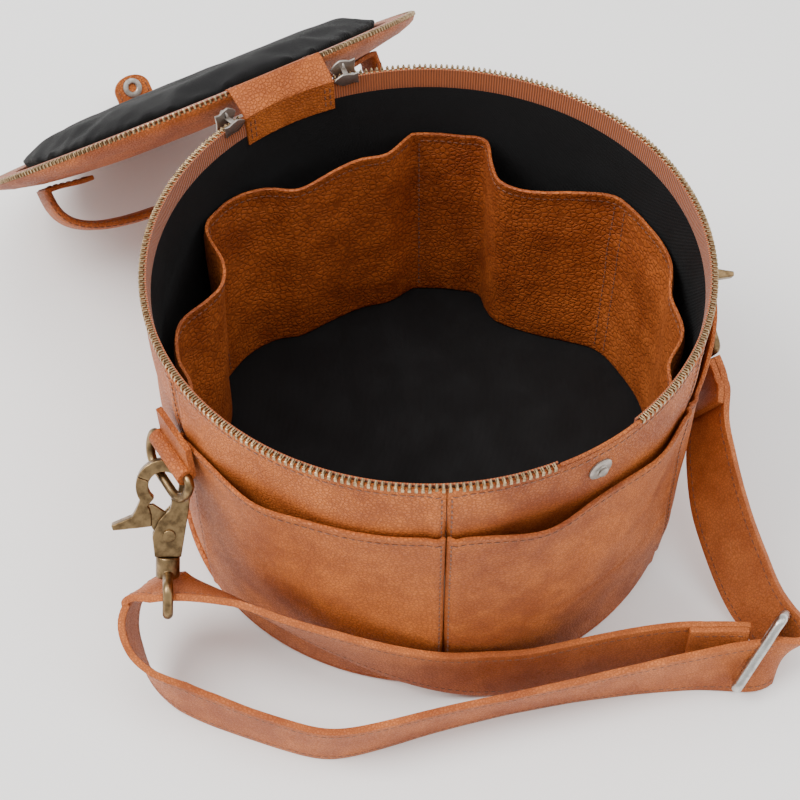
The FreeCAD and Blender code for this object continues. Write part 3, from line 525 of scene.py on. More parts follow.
# %% Metals
def metal(name, bright, dull, rough, tarnish=0.4, scale=0.25):
    plate = Finish(name, Metallic=1.0)
    cloud = plate.grain(scale, detail=5.0).ramp(0.35, 0.7)
    speck = plate.grain(3.0, detail=2.0)
    plate.feed("Base Color", plate.blend(cloud * tarnish + speck * 0.12, bright, dull))
    plate.feed("Roughness", cloud * 0.14 + speck * 0.08 + rough)
    plate.relief(speck + cloud, 0.03)
    return plate.material


BRASS = metal("antique_brass", ink(196, 170, 132), ink(92, 72, 48), 0.3, tarnish=0.7, scale=0.5)
BRONZE = metal("bronze_plate", ink(150, 124, 88), ink(66, 50, 34), 0.26, tarnish=0.7)
NICKEL = metal("nickel_plate", ink(206, 204, 200), ink(120, 116, 110), 0.16, tarnish=0.45)
GUNMETAL = metal("gunmetal_plate", ink(178, 170, 162), ink(112, 106, 100), 0.38, tarnish=0.5)
print("finishes", len(bpy.data.materials))

# %% [markdown]
# ## The drum
# Six leather panels make the wall. Where two panels meet they are sewn right sides together
# and turned, so both edges roll inwards and leave a groove. The hide is never quite round: it
# gives a little between the seams, which a slow noise adds.

# %% Wall panels
LEATHER_THICK = 1.8
SLIP_GAP = 0.6


def from_seam(bearing):
    """Distance along the wall to the nearest seam."""
    turn = (bearing + SEAM_EVERY / 2) % SEAM_EVERY
    return math.radians(min(turn, SEAM_EVERY - turn)) * RIM_RADIUS


def give(bearing, height):
    """How far the soft wall stands off its true cone."""
    slow = noise.noise(on_bearing(2.1, bearing, height / 55.0))
    quick = noise.noise(on_bearing(6.0, bearing, height / 21.0 + 7.0))
    hold = min(1.0, (TOP - height) / 30.0) * min(1.0, max(0.0, (height - FOOT) / 18.0))
    return (slow * 2.4 + quick * 0.5) * hold


def rolled_in(bearing, height):
    """The panel's turned edge at a seam, and the slight ridge beside it."""
    away = from_seam(bearing)
    depth = 1.8 if height < TOP - 20 else 0.7
    return -depth * math.exp(-away / 0.9) + 0.8 * hump(away, 3.8, 2.4)


def crowded(share):
    """Spreads columns so that they crowd towards both ends."""
    return share - 0.85 * math.sin(2 * math.pi * share) / (2 * math.pi)


def panel_place(first, low, high, out):
    """Where a 60 degree panel lies: high and out are functions of bearing and height."""
    def place(u, v):
        bearing = first + SEAM_EVERY * crowded(u)
        height = low + (high(bearing) - low) * v
        radius = wall_radius(height) + rolled_in(bearing, height) + give(bearing, height)
        return on_bearing(radius + out(bearing, height), bearing, height)
    return place


PANEL_WIDE = math.radians(SEAM_EVERY) * RIM_RADIUS
PANELS = {"front_panel": -30, "front_right_panel": 30, "back_right_panel": 90,
          "back_panel": 150, "back_left_panel": 210, "front_left_panel": 270}
wall_places = {}
for node, first in PANELS.items():
    place = panel_place(first, FOOT, lambda bearing: TOP, lambda bearing, height: 0.0)
    wall_places[node] = place
    piece = sheet("wall_" + node, 56, 40, place, (PANEL_WIDE, TOP - FOOT), LEATHER_THICK,
                  edge=0.5)
    finished(piece, "root", [LEATHER, DYED_EDGE])
    stands_for(piece, "leather", node)

# %% [markdown]
# ## Slip pockets
# Three open pockets cover the front half of the wall. They share the wall's seams but are
# loose along the top, so the edge wanders up and down and gapes where the hide has been pulled.
# The top edge is turned and stitched, and a plain line is pressed into the front one.

# %% Slip pockets
POCKET_EDGE = ((-90, 117.0), (-66, 121.5), (-38, 124.5), (-12, 121.0), (10, 124.5), (29, 119.0),
               (60, 122.0), (90, 118.0))
PRESSED_LINE = 47.0


def pocket_top(bearing):
    return flowing(POCKET_EDGE, (bearing + 180) % 360 - 180)


def gape(bearing, height):
    """The pocket's edge leaning away from the wall."""
    bearing = (bearing + 180) % 360 - 180
    pull = (5.0 * hump(bearing, -12, 8) + 4.2 * hump(bearing, -66, 9)
            + 1.4 * hump(bearing, 14, 9) + 3.0 * hump(bearing, 58, 12))
    rise = max(0.0, (height - 62.0) / 58.0)
    return pull * rise ** 2.2


def pocket_out(bearing, height):
    lip = 0.9 * hump(height, pocket_top(bearing) - 0.5, 2.2)
    line = -0.45 * hump(height, PRESSED_LINE, 0.8) if abs((bearing + 180) % 360 - 180) < 29 else 0
    return SLIP_GAP + LEATHER_THICK + gape(bearing, height) + lip + line


POCKETS = {"slip_pocket_front": -30, "slip_pocket_right": 30, "slip_pocket_left": 270}
pocket_places = {}
for node, first in POCKETS.items():
    place = panel_place(first, FOOT, pocket_top, pocket_out)
    pocket_places[node] = place
    piece = sheet("leather_" + node, 60, 64, place, (PANEL_WIDE, 119.0 - FOOT), LEATHER_THICK,
                  edge=0.55)
    finished(piece, "root", [LEATHER, DYED_EDGE])
    stands_for(piece, "leather", node)

# %% Seams and pocket edges, sewn
SEAM_ROW = 0.082        # a row's place beside the seam, as a share of the columns
drum_rows = []
for places in (wall_places, pocket_places):
    for node, place in places.items():
        for column in (SEAM_ROW, 1 - SEAM_ROW):
            drum_rows.append(row_of(place, lambda t, c=column: (c, 0.01 + 0.97 * t), 0.08))
for place in pocket_places.values():
    drum_rows.append(row_of(place, lambda t: (0.03 + 0.94 * t, 1 - 4.2 / 119.0), 0.1))
for node, place in wall_places.items():
    drum_rows.append(row_of(place, lambda t: (0.02 + 0.96 * t, 1 - 3.4 / 148.0), 0.05))
sewn("stitching_drum", "root", drum_rows, TAN_THREAD)

# %% [markdown]
# ## Lining and the inner pocket band
# Inside, black twill lines the wall and the floor. A leather band is gathered against it in
# pockets: it is fixed at its seams and bows inwards between them, most at the back. Its top
# edge follows a curve through the places where it touches the wall and where it bows out.

# %% Twill lining
LINING_TOP = TOP - 9.5
FLOOR_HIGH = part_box("base_lining")[1].z / MM


def lining_place(u, v):
    bearing = -180 + 360 * u
    height = FLOOR_HIGH + (LINING_TOP + 0.6 - FLOOR_HIGH) * v
    crease = noise.noise(on_bearing(3.4, bearing, height / 30.0 + 3.0))
    return on_bearing(wall_radius(height) - LEATHER_THICK - 1.5 - 0.9 * abs(crease) * (1 - v ** 6),
                      bearing, height)


piece = sheet("twill_lining", 240, 40, lining_place,
              (2 * math.pi * RIM_RADIUS, LINING_TOP - FLOOR_HIGH), closed=True)
tidy_mesh(piece)
turn_inside_out(piece)
finish_with(piece, "SOLIDIFY", thickness=0.6 * MM, offset=-1.0)
finished(piece, "root", [WALL_TWILL])
stands_for(piece, "black_twill", "wall_lining")

# %% The gathered pocket band
BAND_TOP, BAND_THICK, WALL_SIDE = 117.0, 1.6, 113.6
BAND_EDGE = ((-210, 114.0), (-203, 101.0), (-195, 99.5), (-183, 96.5), (-174, 97.5),
             (-168, 107.5), (-160, 113.5), (-150, 113.5), (-141, 97.0), (-133, 92.5),
             (-127, 96.5), (-119, 108.0), (-109, 110.0), (-101, 108.0), (-90, 112.5),
             (-75, 105.0), (-58, 102.5), (-40, 108.0), (-30, 113.0), (-12, 106.0), (8, 104.5),
             (22, 109.5), (30, 113.0), (40, 107.5), (50, 111.0), (61, 107.5), (72, 113.0),
             (84, 113.6), (95, 113.0), (103, 101.0), (110, 91.5), (118, 87.0), (125, 89.0),
             (129, 99.0), (132, 112.0), (138, 113.6), (150, 114.0), (157, 108.5),
             (165, 101.5), (177, 96.5))


def band_place(u, v):
    bearing = -210 + 360 * u
    wrapped = bearing if bearing <= 177 else bearing - 360
    edge_radius = flowing(BAND_EDGE + ((180, 96.5),), wrapped)
    settle = 0.62 + 0.38 * v
    radius = WALL_SIDE + (edge_radius - WALL_SIDE) * settle
    height = FLOOR_HIGH + 1.0 + (BAND_TOP - FLOOR_HIGH - 1.0) * v
    rise = 1.8 * noise.noise(on_bearing(2.6, bearing, 9.0)) * v ** 4
    sway = 0.9 * noise.noise(on_bearing(3.0, bearing, height / 24.0))
    lean = 1.2 * hump(v, 1.0, 0.035)
    return on_bearing(min(radius + sway, 114.0) - lean, bearing, height + rise)


piece = sheet("pocket_band", 420, 48, band_place, (2 * math.pi * 108, BAND_TOP), BAND_THICK,
              offset=1.0, edge=0.5, closed=True)
finished(piece, "root", [POCKET_LEATHER, DYED_EDGE])
stands_for(piece, "pocket_leather", *[n for n in nodes if n.startswith("inner_pocket")])


def inside_band(u, v):
    """The face of the band that is turned to the middle of the bag."""
    here = band_place(1 - u, v)
    return here - Vector((here.x, here.y, 0)).normalized() * 0.02


band_rows = [row_of(inside_band, lambda t: (0.002 + 0.996 * t, 1 - 5.0 / BAND_TOP), 0.05,
                    steps=900)]
for seam in (-150, -90, -30, 30, 94, 150):
    column = 1 - (seam + 210) / 360
    for side in (-0.0042, 0.0042):
        band_rows.append(row_of(inside_band, lambda t, c=column + side: (c, 0.02 + 0.94 * t),
                                0.05))
sewn("stitching_band", "root", band_rows, TAN_THREAD)

# %% [markdown]
# ## The zip
# Each tooth is a small brass clamp crimped over the tape's edge, with a narrower head that the
# next tooth locks on. It starts as a cube: the top is drawn in and pulled up for the head, and
# a bevel rounds the casting. The same tooth is then set down every 2.54 mm round the rim and
# round the lid, leaving out the front and the hinge.

# %% One tooth, then two rows
TOOTH_PITCH, TOOTH_THICK = 2.54, 1.32
deselect()
bpy.ops.mesh.primitive_cube_add(size=1)
tooth = bpy.context.object
tooth.scale = (TOOTH_THICK, 2.7, 2.1)
bpy.ops.object.transform_apply(location=True, rotation=True, scale=True)
bpy.ops.object.mode_set(mode="EDIT")
bpy.ops.mesh.select_mode(type="FACE")
bpy.ops.mesh.select_all(action="DESELECT")
bpy.ops.object.mode_set(mode="OBJECT")
for face in tooth.data.polygons:
    face.select = face.normal.z > 0.9
bpy.ops.object.mode_set(mode="EDIT")
bpy.ops.mesh.inset(thickness=0.22)
bpy.ops.mesh.extrude_region_move(TRANSFORM_OT_translate={"value": (0, 0, 1.15)})
bpy.ops.transform.resize(value=(0.8, 0.72, 1.0))
bpy.ops.object.mode_set(mode="OBJECT")
finish_with(tooth, "BEVEL", width=0.22, segments=1, limit_method="ANGLE")
TOOTH_POINTS = [vertex.co.copy() for vertex in tooth.data.vertices]
TOOTH_FACES = [tuple(face.vertices) for face in tooth.data.polygons]
bpy.data.objects.remove(tooth)
FRONT_GAP, HINGE_GAP = 9.0, 11.5


def tooth_row(name, body, radius, height, points_up, node, move=None):
    """Teeth on both sides of the rim; points_up says whether heads point up or outwards."""
    frames = []
    step = math.degrees(TOOTH_PITCH / RIM_RADIUS)
    count = int((180 - FRONT_GAP - HINGE_GAP) / step)
    for side in (-1, 1):
        for number in range(count):
            bearing = side * (FRONT_GAP + 0.4 + step * (number + 0.5))
            out = on_bearing(1, bearing, 0)
            along = Vector((0, 0, 1)).cross(out)
            up = Vector((0, 0, 1))
            axes = (along, out, up) if points_up else (along, -up, out)
            turn = Matrix(axes).transposed().to_4x4()
            frames.append(Matrix.Translation(on_bearing(radius, bearing, height)) @ turn)
    piece = copies(name, TOOTH_POINTS, TOOTH_FACES, frames)
    if move is not None:
        place_with(piece, move)
    finished(piece, body, [BRASS], smooth_angle=30)
    stands_for(piece, "antique_brass", node)
    print(name, len(frames), "teeth")


tooth_row("zip_teeth_rim", "root", RIM_RADIUS - 0.9, TOP + 0.05, True, "rim_zip_teeth")
tooth_row("zip_teeth_lid", "lid", RIM_RADIUS - 1.6, LID_EDGE - 1.1, False, "lid_zip_teeth",
          LID_OPEN)

# %% [markdown]
# ### Zip tape
# The tape is a ribbon along each row. On the rim it stands against the wall, and on the lid it
# lies flat between the teeth and the pad. Its UV map is in real millimetres, so the woven ribs
# keep the pitch of the teeth.

# %% Tape on the rim and on the lid
SIDES = ((FRONT_GAP, 180 - HINGE_GAP), (-180 + HINGE_GAP, -FRONT_GAP))
for number, (first, last) in enumerate(SIDES):
    wide = math.radians(last - first) * RIM_RADIUS

    def rim_tape(u, v, first=first, last=last):
        height = TOP - 13.4 + 14.2 * v
        bulge = 0.5 * math.sin(math.pi * min(1.0, v * 1.2))
        return on_bearing(wall_radius(height) - LEATHER_THICK - 1.0 - bulge,
                          last + (first - last) * u, height)

    def lid_tape(u, v, first=first, last=last):
        sag = 0.6 * math.sin(math.pi * v)
        return on_bearing(TAPE_INNER - 1.5 + (RIM_RADIUS - 1.6 - TAPE_INNER) * v,
                          last + (first - last) * u, LID_EDGE - 1.3 - sag)

    for name, body, place, node, move in (
            ("tape_rim", "root", rim_tape, "rim_zip_tape", None),
            ("tape_lid", "lid", lid_tape, "lid_zip_tape", LID_OPEN)):
        piece = sheet(f"{name}_{number}", 160, 8, place, (wide, 13.0), 0.7, move=move)
        finished(piece, body, [TAPE])
        stands_for(piece, "zip_tape", node)

# %% [markdown]
# ### Sliders and pulls
# A slider is two plates joined by a post between them; the rows of teeth run in the channels on
# each side of the post. Seen flat, each plate is a crown: wide shoulders, a waist and a square
# tail. The pull is a flat tag on a small bridge.

# %% Sliders and pulls
PARK = 165.3
CROWN_PLATE = ((6.2, 0.0), (5.0, 2.0), (3.4, 3.4), (1.6, 4.6), (-1.0, 4.3), (-3.4, 3.5),
               (-6.0, 4.3), (-5.6, 0.0), (-6.0, -4.3), (-3.4, -3.5), (-1.0, -4.3), (1.6, -4.6),
               (3.4, -3.4), (5.0, -2.0))


def local_frame(radius, bearing, height):
    """Axes at a place on the rim: X along it, Y out, Z up."""
    out = on_bearing(1, bearing, 0)
    along = Vector((0, 0, 1)).cross(out)
    turn = Matrix((along, out, Vector((0, 0, 1)))).transposed().to_4x4()
    return Matrix.Translation(on_bearing(radius, bearing, height)) @ turn


def join_all(name, pieces):
    deselect()
    for piece in pieces:
        piece.select_set(True)
    bpy.context.view_layer.objects.active = pieces[0]
    bpy.ops.object.join()
    bpy.context.object.name = name
    return bpy.context.object


def block(size, middle, bevel, segments=2):
    """A bevelled block, in millimetres."""
    deselect()
    bpy.ops.mesh.primitive_cube_add(size=1, location=Vector(middle) * MM)
    piece = bpy.context.object
    piece.scale = Vector(size) * MM
    bpy.ops.object.transform_apply(location=True, rotation=True, scale=True)
    finish_with(piece, "BEVEL", width=bevel * MM, segments=segments)
    return piece


for name, side in (("left", -1), ("right", 1)):
    parts = []
    for out in (122.4, 116.4):
        deselect()
        bpy.ops.mesh.primitive_cylinder_add(vertices=len(CROWN_PLATE), radius=5 * MM,
                                            depth=1.2 * MM, location=(0, 0, 0))
        plate = bpy.context.object
        for vertex in plate.data.vertices:
            turn = math.atan2(vertex.co.x, vertex.co.y) / (2 * math.pi) * len(CROWN_PLATE)
            x, z = CROWN_PLATE[round(turn) % len(CROWN_PLATE)]
            z = z if out > 119.4 else z * 0.72 - 2.0      # the inner plate clears the shut lid
            vertex.co = Vector((x * side, (out - 119.4) + vertex.co.z / MM, z)) * MM
        tidy_mesh(plate)
        finish_with(plate, "BEVEL", width=0.4 * MM, segments=3, limit_method="ANGLE")
        parts.append(plate)
    parts.append(block((2.4, 5.6, 0.9), (0, 0, 0), 0.2))
    deselect()
    bpy.ops.mesh.primitive_torus_add(major_radius=2.1 * MM, minor_radius=0.65 * MM,
                                     major_segments=28, minor_segments=10,
                                     location=(0, 3.6 * MM, 0.8 * MM),
                                     rotation=(0, math.pi / 2, 0))
    bpy.ops.object.transform_apply(location=True, rotation=True, scale=True)
    parts.append(bpy.context.object)
    piece = join_all(f"slider_{name}", parts)
    place_with(piece, local_frame(119.4, side * PARK, ZIP_PLANE))
    finished(piece, f"slider_{name}", [GUNMETAL])
    stands_for(piece, "gunmetal", f"zip_slider_{name}")
    tag = block((9.0, 1.5, 23.0), (0, 0, -14.0), 0.7, 3)
    neck = block((4.2, 1.5, 5.0), (0, 0, -1.0), 0.6, 3)
    choose(tag)
    for face in tag.data.polygons:
        face.select = abs(face.normal.y) > 0.9
    bpy.ops.object.mode_set(mode="EDIT")
    bpy.ops.mesh.select_mode(type="FACE")
    bpy.ops.mesh.inset(thickness=1.6 * MM, depth=-0.3 * MM)
    bpy.ops.object.mode_set(mode="OBJECT")
    piece = join_all(f"pull_{name}", [tag, neck])
    place_with(piece, local_frame(124.0, side * PARK, ZIP_PLANE - 0.2))
    finished(piece, f"pull_{name}", [GUNMETAL])
    stands_for(piece, "gunmetal", f"slider_pull_{name}")

# %% [markdown]
# ## The lid
# The lid is a shallow dome of leather over a board, with a padded twill lining inside. It is
# made as if the bag were shut. The cover's outline is drawn once, from the middle to the rim,
# and spun round the axis, which is how a dome is drawn by hand.

# %% Lid cover
COVER_LINE = ((0, 170.5), (25, 170.3), (50, 169.6), (75, 168.8), (95, 166.4), (110, 163.3),
              (116.5, 161.2), (119.2, 159.6), (120.0, 158.4), (119.4, 157.3), (117.6, 157.1))


def smooth_line(spots, steps):
    """Points spread along a polyline at even lengths, softened."""
    lengths = [0.0]
    for a, b in zip(spots, spots[1:]):
        lengths.append(lengths[-1] + math.dist(a, b))
    made = []
    for step in range(steps + 1):
        at, leg = lengths[-1] * step / steps, 0
        while leg < len(spots) - 2 and lengths[leg + 1] < at:
            leg += 1
        share = (at - lengths[leg]) / (lengths[leg + 1] - lengths[leg])
        made.append(tuple(a + (b - a) * share for a, b in zip(spots[leg], spots[leg + 1])))
    return made


def spun(name, line, steps=144):
    """An outline of (radius, height) spots spun round the axis by hand tools."""
    deselect()
    radius, height = line[0]
    bpy.ops.mesh.primitive_plane_add(size=0.001, location=(0, -radius * MM, height * MM))
    piece = bpy.context.object
    piece.name = name
    bpy.ops.object.transform_apply(location=True, rotation=True, scale=True)
    bpy.ops.object.mode_set(mode="EDIT")
    bpy.ops.mesh.select_mode(type="VERT")
    bpy.ops.mesh.select_all(action="SELECT")
    bpy.ops.mesh.merge(type="CENTER")
    for (r0, z0), (r1, z1) in zip(line, line[1:]):
        bpy.ops.mesh.extrude_region_move(
            TRANSFORM_OT_translate={"value": (0, (r0 - r1) * MM, (z1 - z0) * MM)})
    bpy.ops.mesh.select_all(action="SELECT")
    bpy.ops.mesh.spin(steps=steps, angle=2 * math.pi, center=(0, 0, 0), axis=(0, 0, -1))
    bpy.ops.object.mode_set(mode="OBJECT")
    tidy_mesh(piece)
    return piece


def sculpt(piece, move):
    """Moves every corner by a function in millimetres, like a sculpting brush."""
    for vertex in piece.data.vertices:
        vertex.co = move(vertex.co / MM) * MM


def lid_wear(spot):
    """Soft dents in the cover, none at its edge."""
    radius = math.hypot(spot.x, spot.y)
    hold = max(0.0, 1 - (radius / 112) ** 4)
    dent = noise.noise(spot / 38.0) * 1.3 + noise.noise(spot / 14.0 + Vector((5, 0, 0))) * 0.3
    return spot + Vector((0, 0, dent * hold))


cover = spun("lid_leather", smooth_line(COVER_LINE, 46))
sculpt(cover, lid_wear)
if sum(face.normal.z * face.area for face in cover.data.polygons) < 0:
    turn_inside_out(cover)
finish_with(cover, "SOLIDIFY", thickness=1.7 * MM, offset=-1.0)
place_with(cover, LID_OPEN)
finished(cover, "lid", [LEATHER])
stands_for(cover, "leather", "lid_cover")


def on_cover(u, v):
    """A ring near the cover's edge, for its stitching."""
    radius = 100 + 16 * v
    height = eased(COVER_LINE[:8], radius)
    return on_bearing(radius, -180 + 360 * u, height)


sewn("stitching_lid_edge", "lid", [row_of(on_cover, lambda t: (t, 0.62), 0.15, steps=700)],
     TAN_THREAD, LID_OPEN)

# %% [markdown]
# ### The padded lining
# Between the tape and the middle the lid is stuffed, and the twill is drawn tight over the
# stuffing. A cushion like that is found by simulation: a disc a little too small is given a
# pressure from inside and swells until its cloth holds it. Its flat side lies on the board, so
# only the side towards the inside of the bag is free to crown.

# %% Pad, swollen by cloth simulation
PAD_BACK = 156.6
PAD_LINE = ((0, 148.6), (60, 148.8), (88, 149.4), (97, 150.9), (102.5, 153.4), (104.6, 156.2),
            (102.5, 157.4), (60, 157.6), (0, 157.6))
pad = spun("lid_padding", smooth_line(PAD_LINE, 40), steps=72)
finish_with(pad, "REMESH", mode="VOXEL", voxel_size=4.5 * MM, use_smooth_shade=True)
scene = bpy.context.scene
rest = [vertex.co.copy() for vertex in pad.data.vertices]
choose(pad)
cloth = pad.modifiers.new("Cloth", "CLOTH")
cloth.settings.quality = 6
cloth.settings.use_pressure = True
cloth.settings.uniform_pressure_force = 4.0
cloth.settings.tension_stiffness = 20
cloth.settings.compression_stiffness = 20
cloth.settings.effector_weights.gravity = 0.0
held = pad.vertex_groups.new(name="held")
held.add([vertex.index for vertex in pad.data.vertices
          if vertex.co.z > (PAD_BACK - 1.5) * MM], 1.0, "REPLACE")
cloth.settings.vertex_group_mass = "held"
for step in range(1, 21):
    scene.frame_set(step)
choose(pad)
bpy.ops.object.modifier_apply(modifier=cloth.name)
scene.frame_set(1)
reach = 3.4 * MM
for vertex, start in zip(pad.data.vertices, rest):
    moved = vertex.co - start
    if moved.length > reach:
        vertex.co = start + moved.normalized() * reach
pad.vertex_groups.clear()


def pad_folds(spot):
    """Long shallow puckers that run in from the stitched edge, and hand-made lumps."""
    radius = math.hypot(spot.x, spot.y)
    if spot.z > PAD_BACK - 1.0:
        return spot
    angle = math.atan2(spot.y, spot.x)
    pucker = 0.4 * math.sin(angle * 64 + 3 * noise.noise(spot / 30.0)) * hump(radius, 101, 4.5)
    lump = 1.5 * noise.noise(spot / 42.0) + 0.7 * noise.noise(spot / 17.0)
    drop = -(lump + 1.0) * max(0.0, 1 - (radius / 106) ** 6)
    return spot + Vector((0, 0, pucker + drop))


finish_with(pad, "SUBSURF", levels=1, render_levels=1)
sculpt(pad, pad_folds)
high = max(math.hypot(vertex.co.x, vertex.co.y) for vertex in pad.data.vertices) / MM
for vertex in pad.data.vertices:
    vertex.co.x *= min(1.0, 105.3 / high)
    vertex.co.y *= min(1.0, 105.3 / high)
tidy_mesh(pad, 0.005)
place_with(pad, LID_OPEN)
finished(pad, "lid", [PAD_TWILL], smooth_angle=80)
stands_for(pad, "black_twill", "lid_pad", "lid_lining")
print("pad", len(pad.data.polygons), "faces, widest before trimming", round(high, 1), "mm")

# %% Tape stitching and facings
def tape_ring(u, v):
    return on_bearing(TAPE_INNER + 11.9 * v, 180 - 360 * u, LID_EDGE - 2.2)


def tape_line(first, last, along):
    return lambda t: ((180 - (first + (last - first) * t)) / 360, along)


tape_rows = [row_of(tape_ring, tape_line(first, last, 0.07), 0.15, steps=500)
             for first, last in SIDES]
sewn("stitching_tape", "lid", tape_rows, BLACK_THREAD, LID_OPEN)


def front_band(u, v):
    height = TOP - 11.0 + 13.2 * v
    return on_bearing(RIM_RADIUS - 3.2 + 2.4 * v ** 3, FRONT_GAP - 2 * FRONT_GAP * u, height)


piece = sheet("front_facing_leather", 24, 20, front_band,
              (math.radians(2 * FRONT_GAP) * RIM_RADIUS, 13.2), 1.4, edge=0.5)
finished(piece, "root", [LEATHER, DYED_EDGE])
stands_for(piece, "leather", "front_facing")
front_rows = [row_of(front_band, lambda t: (0.03 + 0.94 * t, 0.45), 0.08),
              row_of(front_band, lambda t: (0.05, 0.1 + 0.85 * t), 0.08),
              row_of(front_band, lambda t: (0.95, 0.1 + 0.85 * t), 0.08)]
sewn("stitching_front_facing", "root", front_rows, TAN_THREAD)


def lid_facing(u, v):
    radius = TAPE_INNER - 0.4 + 13.4 * v
    return on_bearing(radius, FRONT_GAP - 2 * FRONT_GAP * u,
                      LID_EDGE - 1.5 - 0.5 * math.sin(math.pi * v))


piece = sheet("lid_facing_leather", 24, 14, lid_facing,
              (math.radians(2 * FRONT_GAP) * RIM_RADIUS, 13.4), 1.4, edge=0.45, move=LID_OPEN)
finished(piece, "lid", [LEATHER, DYED_EDGE])
stands_for(piece, "leather", "lid_front_facing")

# %% [markdown]
# ### The leather hinge
# One piece of leather joins the drum to the lid: it runs up the inside of the wall, over the
# rim and down the inside of the lid.

# %% Hinge leather
def hinge_place(u, v):
    across = (2 * u - 1) * HINGE_GAP
    if v < 0.52:
        height = TOP - 14 + 17.5 * v / 0.52
        return on_bearing(wall_radius(min(height, TOP)) - LEATHER_THICK - 1.6, 180 + across,
                          height)
    share = (v - 0.52) / 0.48
    inner = on_bearing(RIM_RADIUS + 1.2 - 13.5 * share, 180 + across, LID_EDGE - 2.2)
    return LID_OPEN @ inner


def hinge_bent(u, v):
    """The two flat legs joined by a round bend."""
    if 0.46 < v < 0.58:
        share = (v - 0.46) / 0.12
        a, b = hinge_place(u, 0.46), hinge_place(u, 0.58)
        rise = (hinge_place(u, 0.46) - hinge_place(u, 0.44)) * 3.0
        run = (hinge_place(u, 0.60) - hinge_place(u, 0.58)) * 3.0
        return (a * (2 * share ** 3 - 3 * share ** 2 + 1) + rise * (share ** 3 - 2 * share ** 2
                + share) + b * (3 * share ** 2 - 2 * share ** 3) + run * (share ** 3
                - share ** 2))
    return hinge_place(u, v)


hinge = sheet("hinge_leather", 32, 80, hinge_bent,
              (math.radians(2 * HINGE_GAP) * RIM_RADIUS, 36.0), 1.5, offset=0.0, edge=0.5)
finished(hinge, None, [LEATHER, DYED_EDGE])
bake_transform(hinge)
stands_for(hinge, "leather", "hinge_leather_lower", "hinge_leather_upper")


def hinge_inside(u, v):
    return hinge_bent(1 - u, v)


for name, body, first, long in (("wall", "root", 0.02, 0.42), ("lid", "lid", 0.62, 0.34)):
    rows = [row_of(hinge_inside, lambda t, c=column: (c, first + long * t), 0.85)
            for column in (0.045, 0.10, 0.90, 0.955)]
    sewn("stitching_hinge_" + name, body, rows, TAN_THREAD)

# %% [markdown]
# ### Snap tab, stud and handle
# A short tab at the front of the lid carries half of a press stud. The handle is a padded
# strip of leather that stands up from the lid in an arch, so the lid can lean on it when open.

# %% Snap tab
TAB_WIDE = 22.0


def tab_place(u, v):
    across = (2 * u - 1) * TAB_WIDE / 2
    length = 48.0 * v
    if length > 37:
        across *= math.sqrt(max(0.0, 1 - ((length - 37) / 11.05) ** 2))
    if length < 14:
        return Vector((across, -109.0 - length, LID_EDGE - 2.8))
    if length < 22:
        bend = (length - 14) / 8 * math.pi / 2
        return Vector((across, -123.0 - 1.9 * math.sin(bend) + 0.2,
                       LID_EDGE - 2.8 - 4.0 * (1 - math.cos(bend))))
    return Vector((across, -124.7, LID_EDGE - 6.8 - (length - 22) * 0.76))


tab = sheet("tab_leather", 24, 60, tab_place, (TAB_WIDE, 48.0), 2.2, offset=0.0, edge=0.5,
            move=LID_OPEN)
tidy_mesh(tab, 0.01)
finished(tab, None, [LEATHER, DYED_EDGE])
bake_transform(tab)
stands_for(tab, "leather", "snap_tab", "snap_tab_root")
tab_rows = []
for column in (0.10, 0.90):
    for face in (tab_place, lambda u, v: tab_place(1 - u, v)):
        tab_rows.append(row_of(face, lambda t, c=column: (c, 0.5 + 0.36 * t), 1.2))
sewn("stitching_tab", "snap_tab", tab_rows, TAN_THREAD, LID_OPEN)

# %% Press stud, socket and cap
def button(name, line, middle, out, body, node, move=None):
    """A turned metal button: an outline spun, then pointed out along a direction."""
    piece = spun(name, line, steps=40)
    turn = Vector((0, 0, 1)).rotation_difference(Vector(out)).to_matrix().to_4x4()
    place_with(piece, Matrix.Translation(Vector(middle)) @ turn)
    if move is not None:
        place_with(piece, move)
    finished(piece, body, [NICKEL if "cap" in name else GUNMETAL])
    stands_for(piece, "press_stud", node)


STUD_LINE = ((0, 2.9), (1.6, 2.8), (2.3, 2.3), (2.1, 1.5), (2.6, 1.0), (4.6, 0.9), (5.3, 0.5),
             (5.3, -0.2), (0, -0.2))
SOCKET_LINE = ((0, -0.6), (2.4, -0.6), (2.5, 0.6), (3.1, 1.1), (4.6, 1.2), (5.6, 0.9),
               (5.9, 0.2), (5.9, -0.5), (0, -0.7))
CAP_LINE = ((0, 1.6), (2.8, 1.45), (4.8, 0.9), (5.9, 0.2), (6.0, -0.3), (0, -0.3))
stud_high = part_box("snap_stud")[1]
button("stud_metal", STUD_LINE, (0, stud_high.y / MM - 0.3, 139), (0, -1, 0), "root",
       "snap_stud")
button("socket_metal", SOCKET_LINE, (0, -123.5, 139), (0, 1, 0), "snap_tab", "snap_socket",
       LID_OPEN)
button("cap_metal", CAP_LINE, (0, -125.9, 139), (0, -1, 0), "snap_tab", "snap_cap", LID_OPEN)

# %% Handle: a padded strip bent into a flat arch
HANDLE_REACH, HANDLE_RISE, HANDLE_WIDE, HANDLE_LEATHER = 100.0, 36.5, 22.0, 5.0
HANDLE_FOOT = 168.3


def arch_point(angle):
    """A point on the handle's middle line, in the plane of the arch."""
    reach, rise = HANDLE_REACH - HANDLE_LEATHER / 2, HANDLE_RISE - HANDLE_LEATHER / 2
    power = 2 / 3.4
    c, s = math.cos(angle), math.sin(angle)
    return Vector((math.copysign(abs(c) ** power, c) * reach, 0, max(s, 0) ** power * rise))


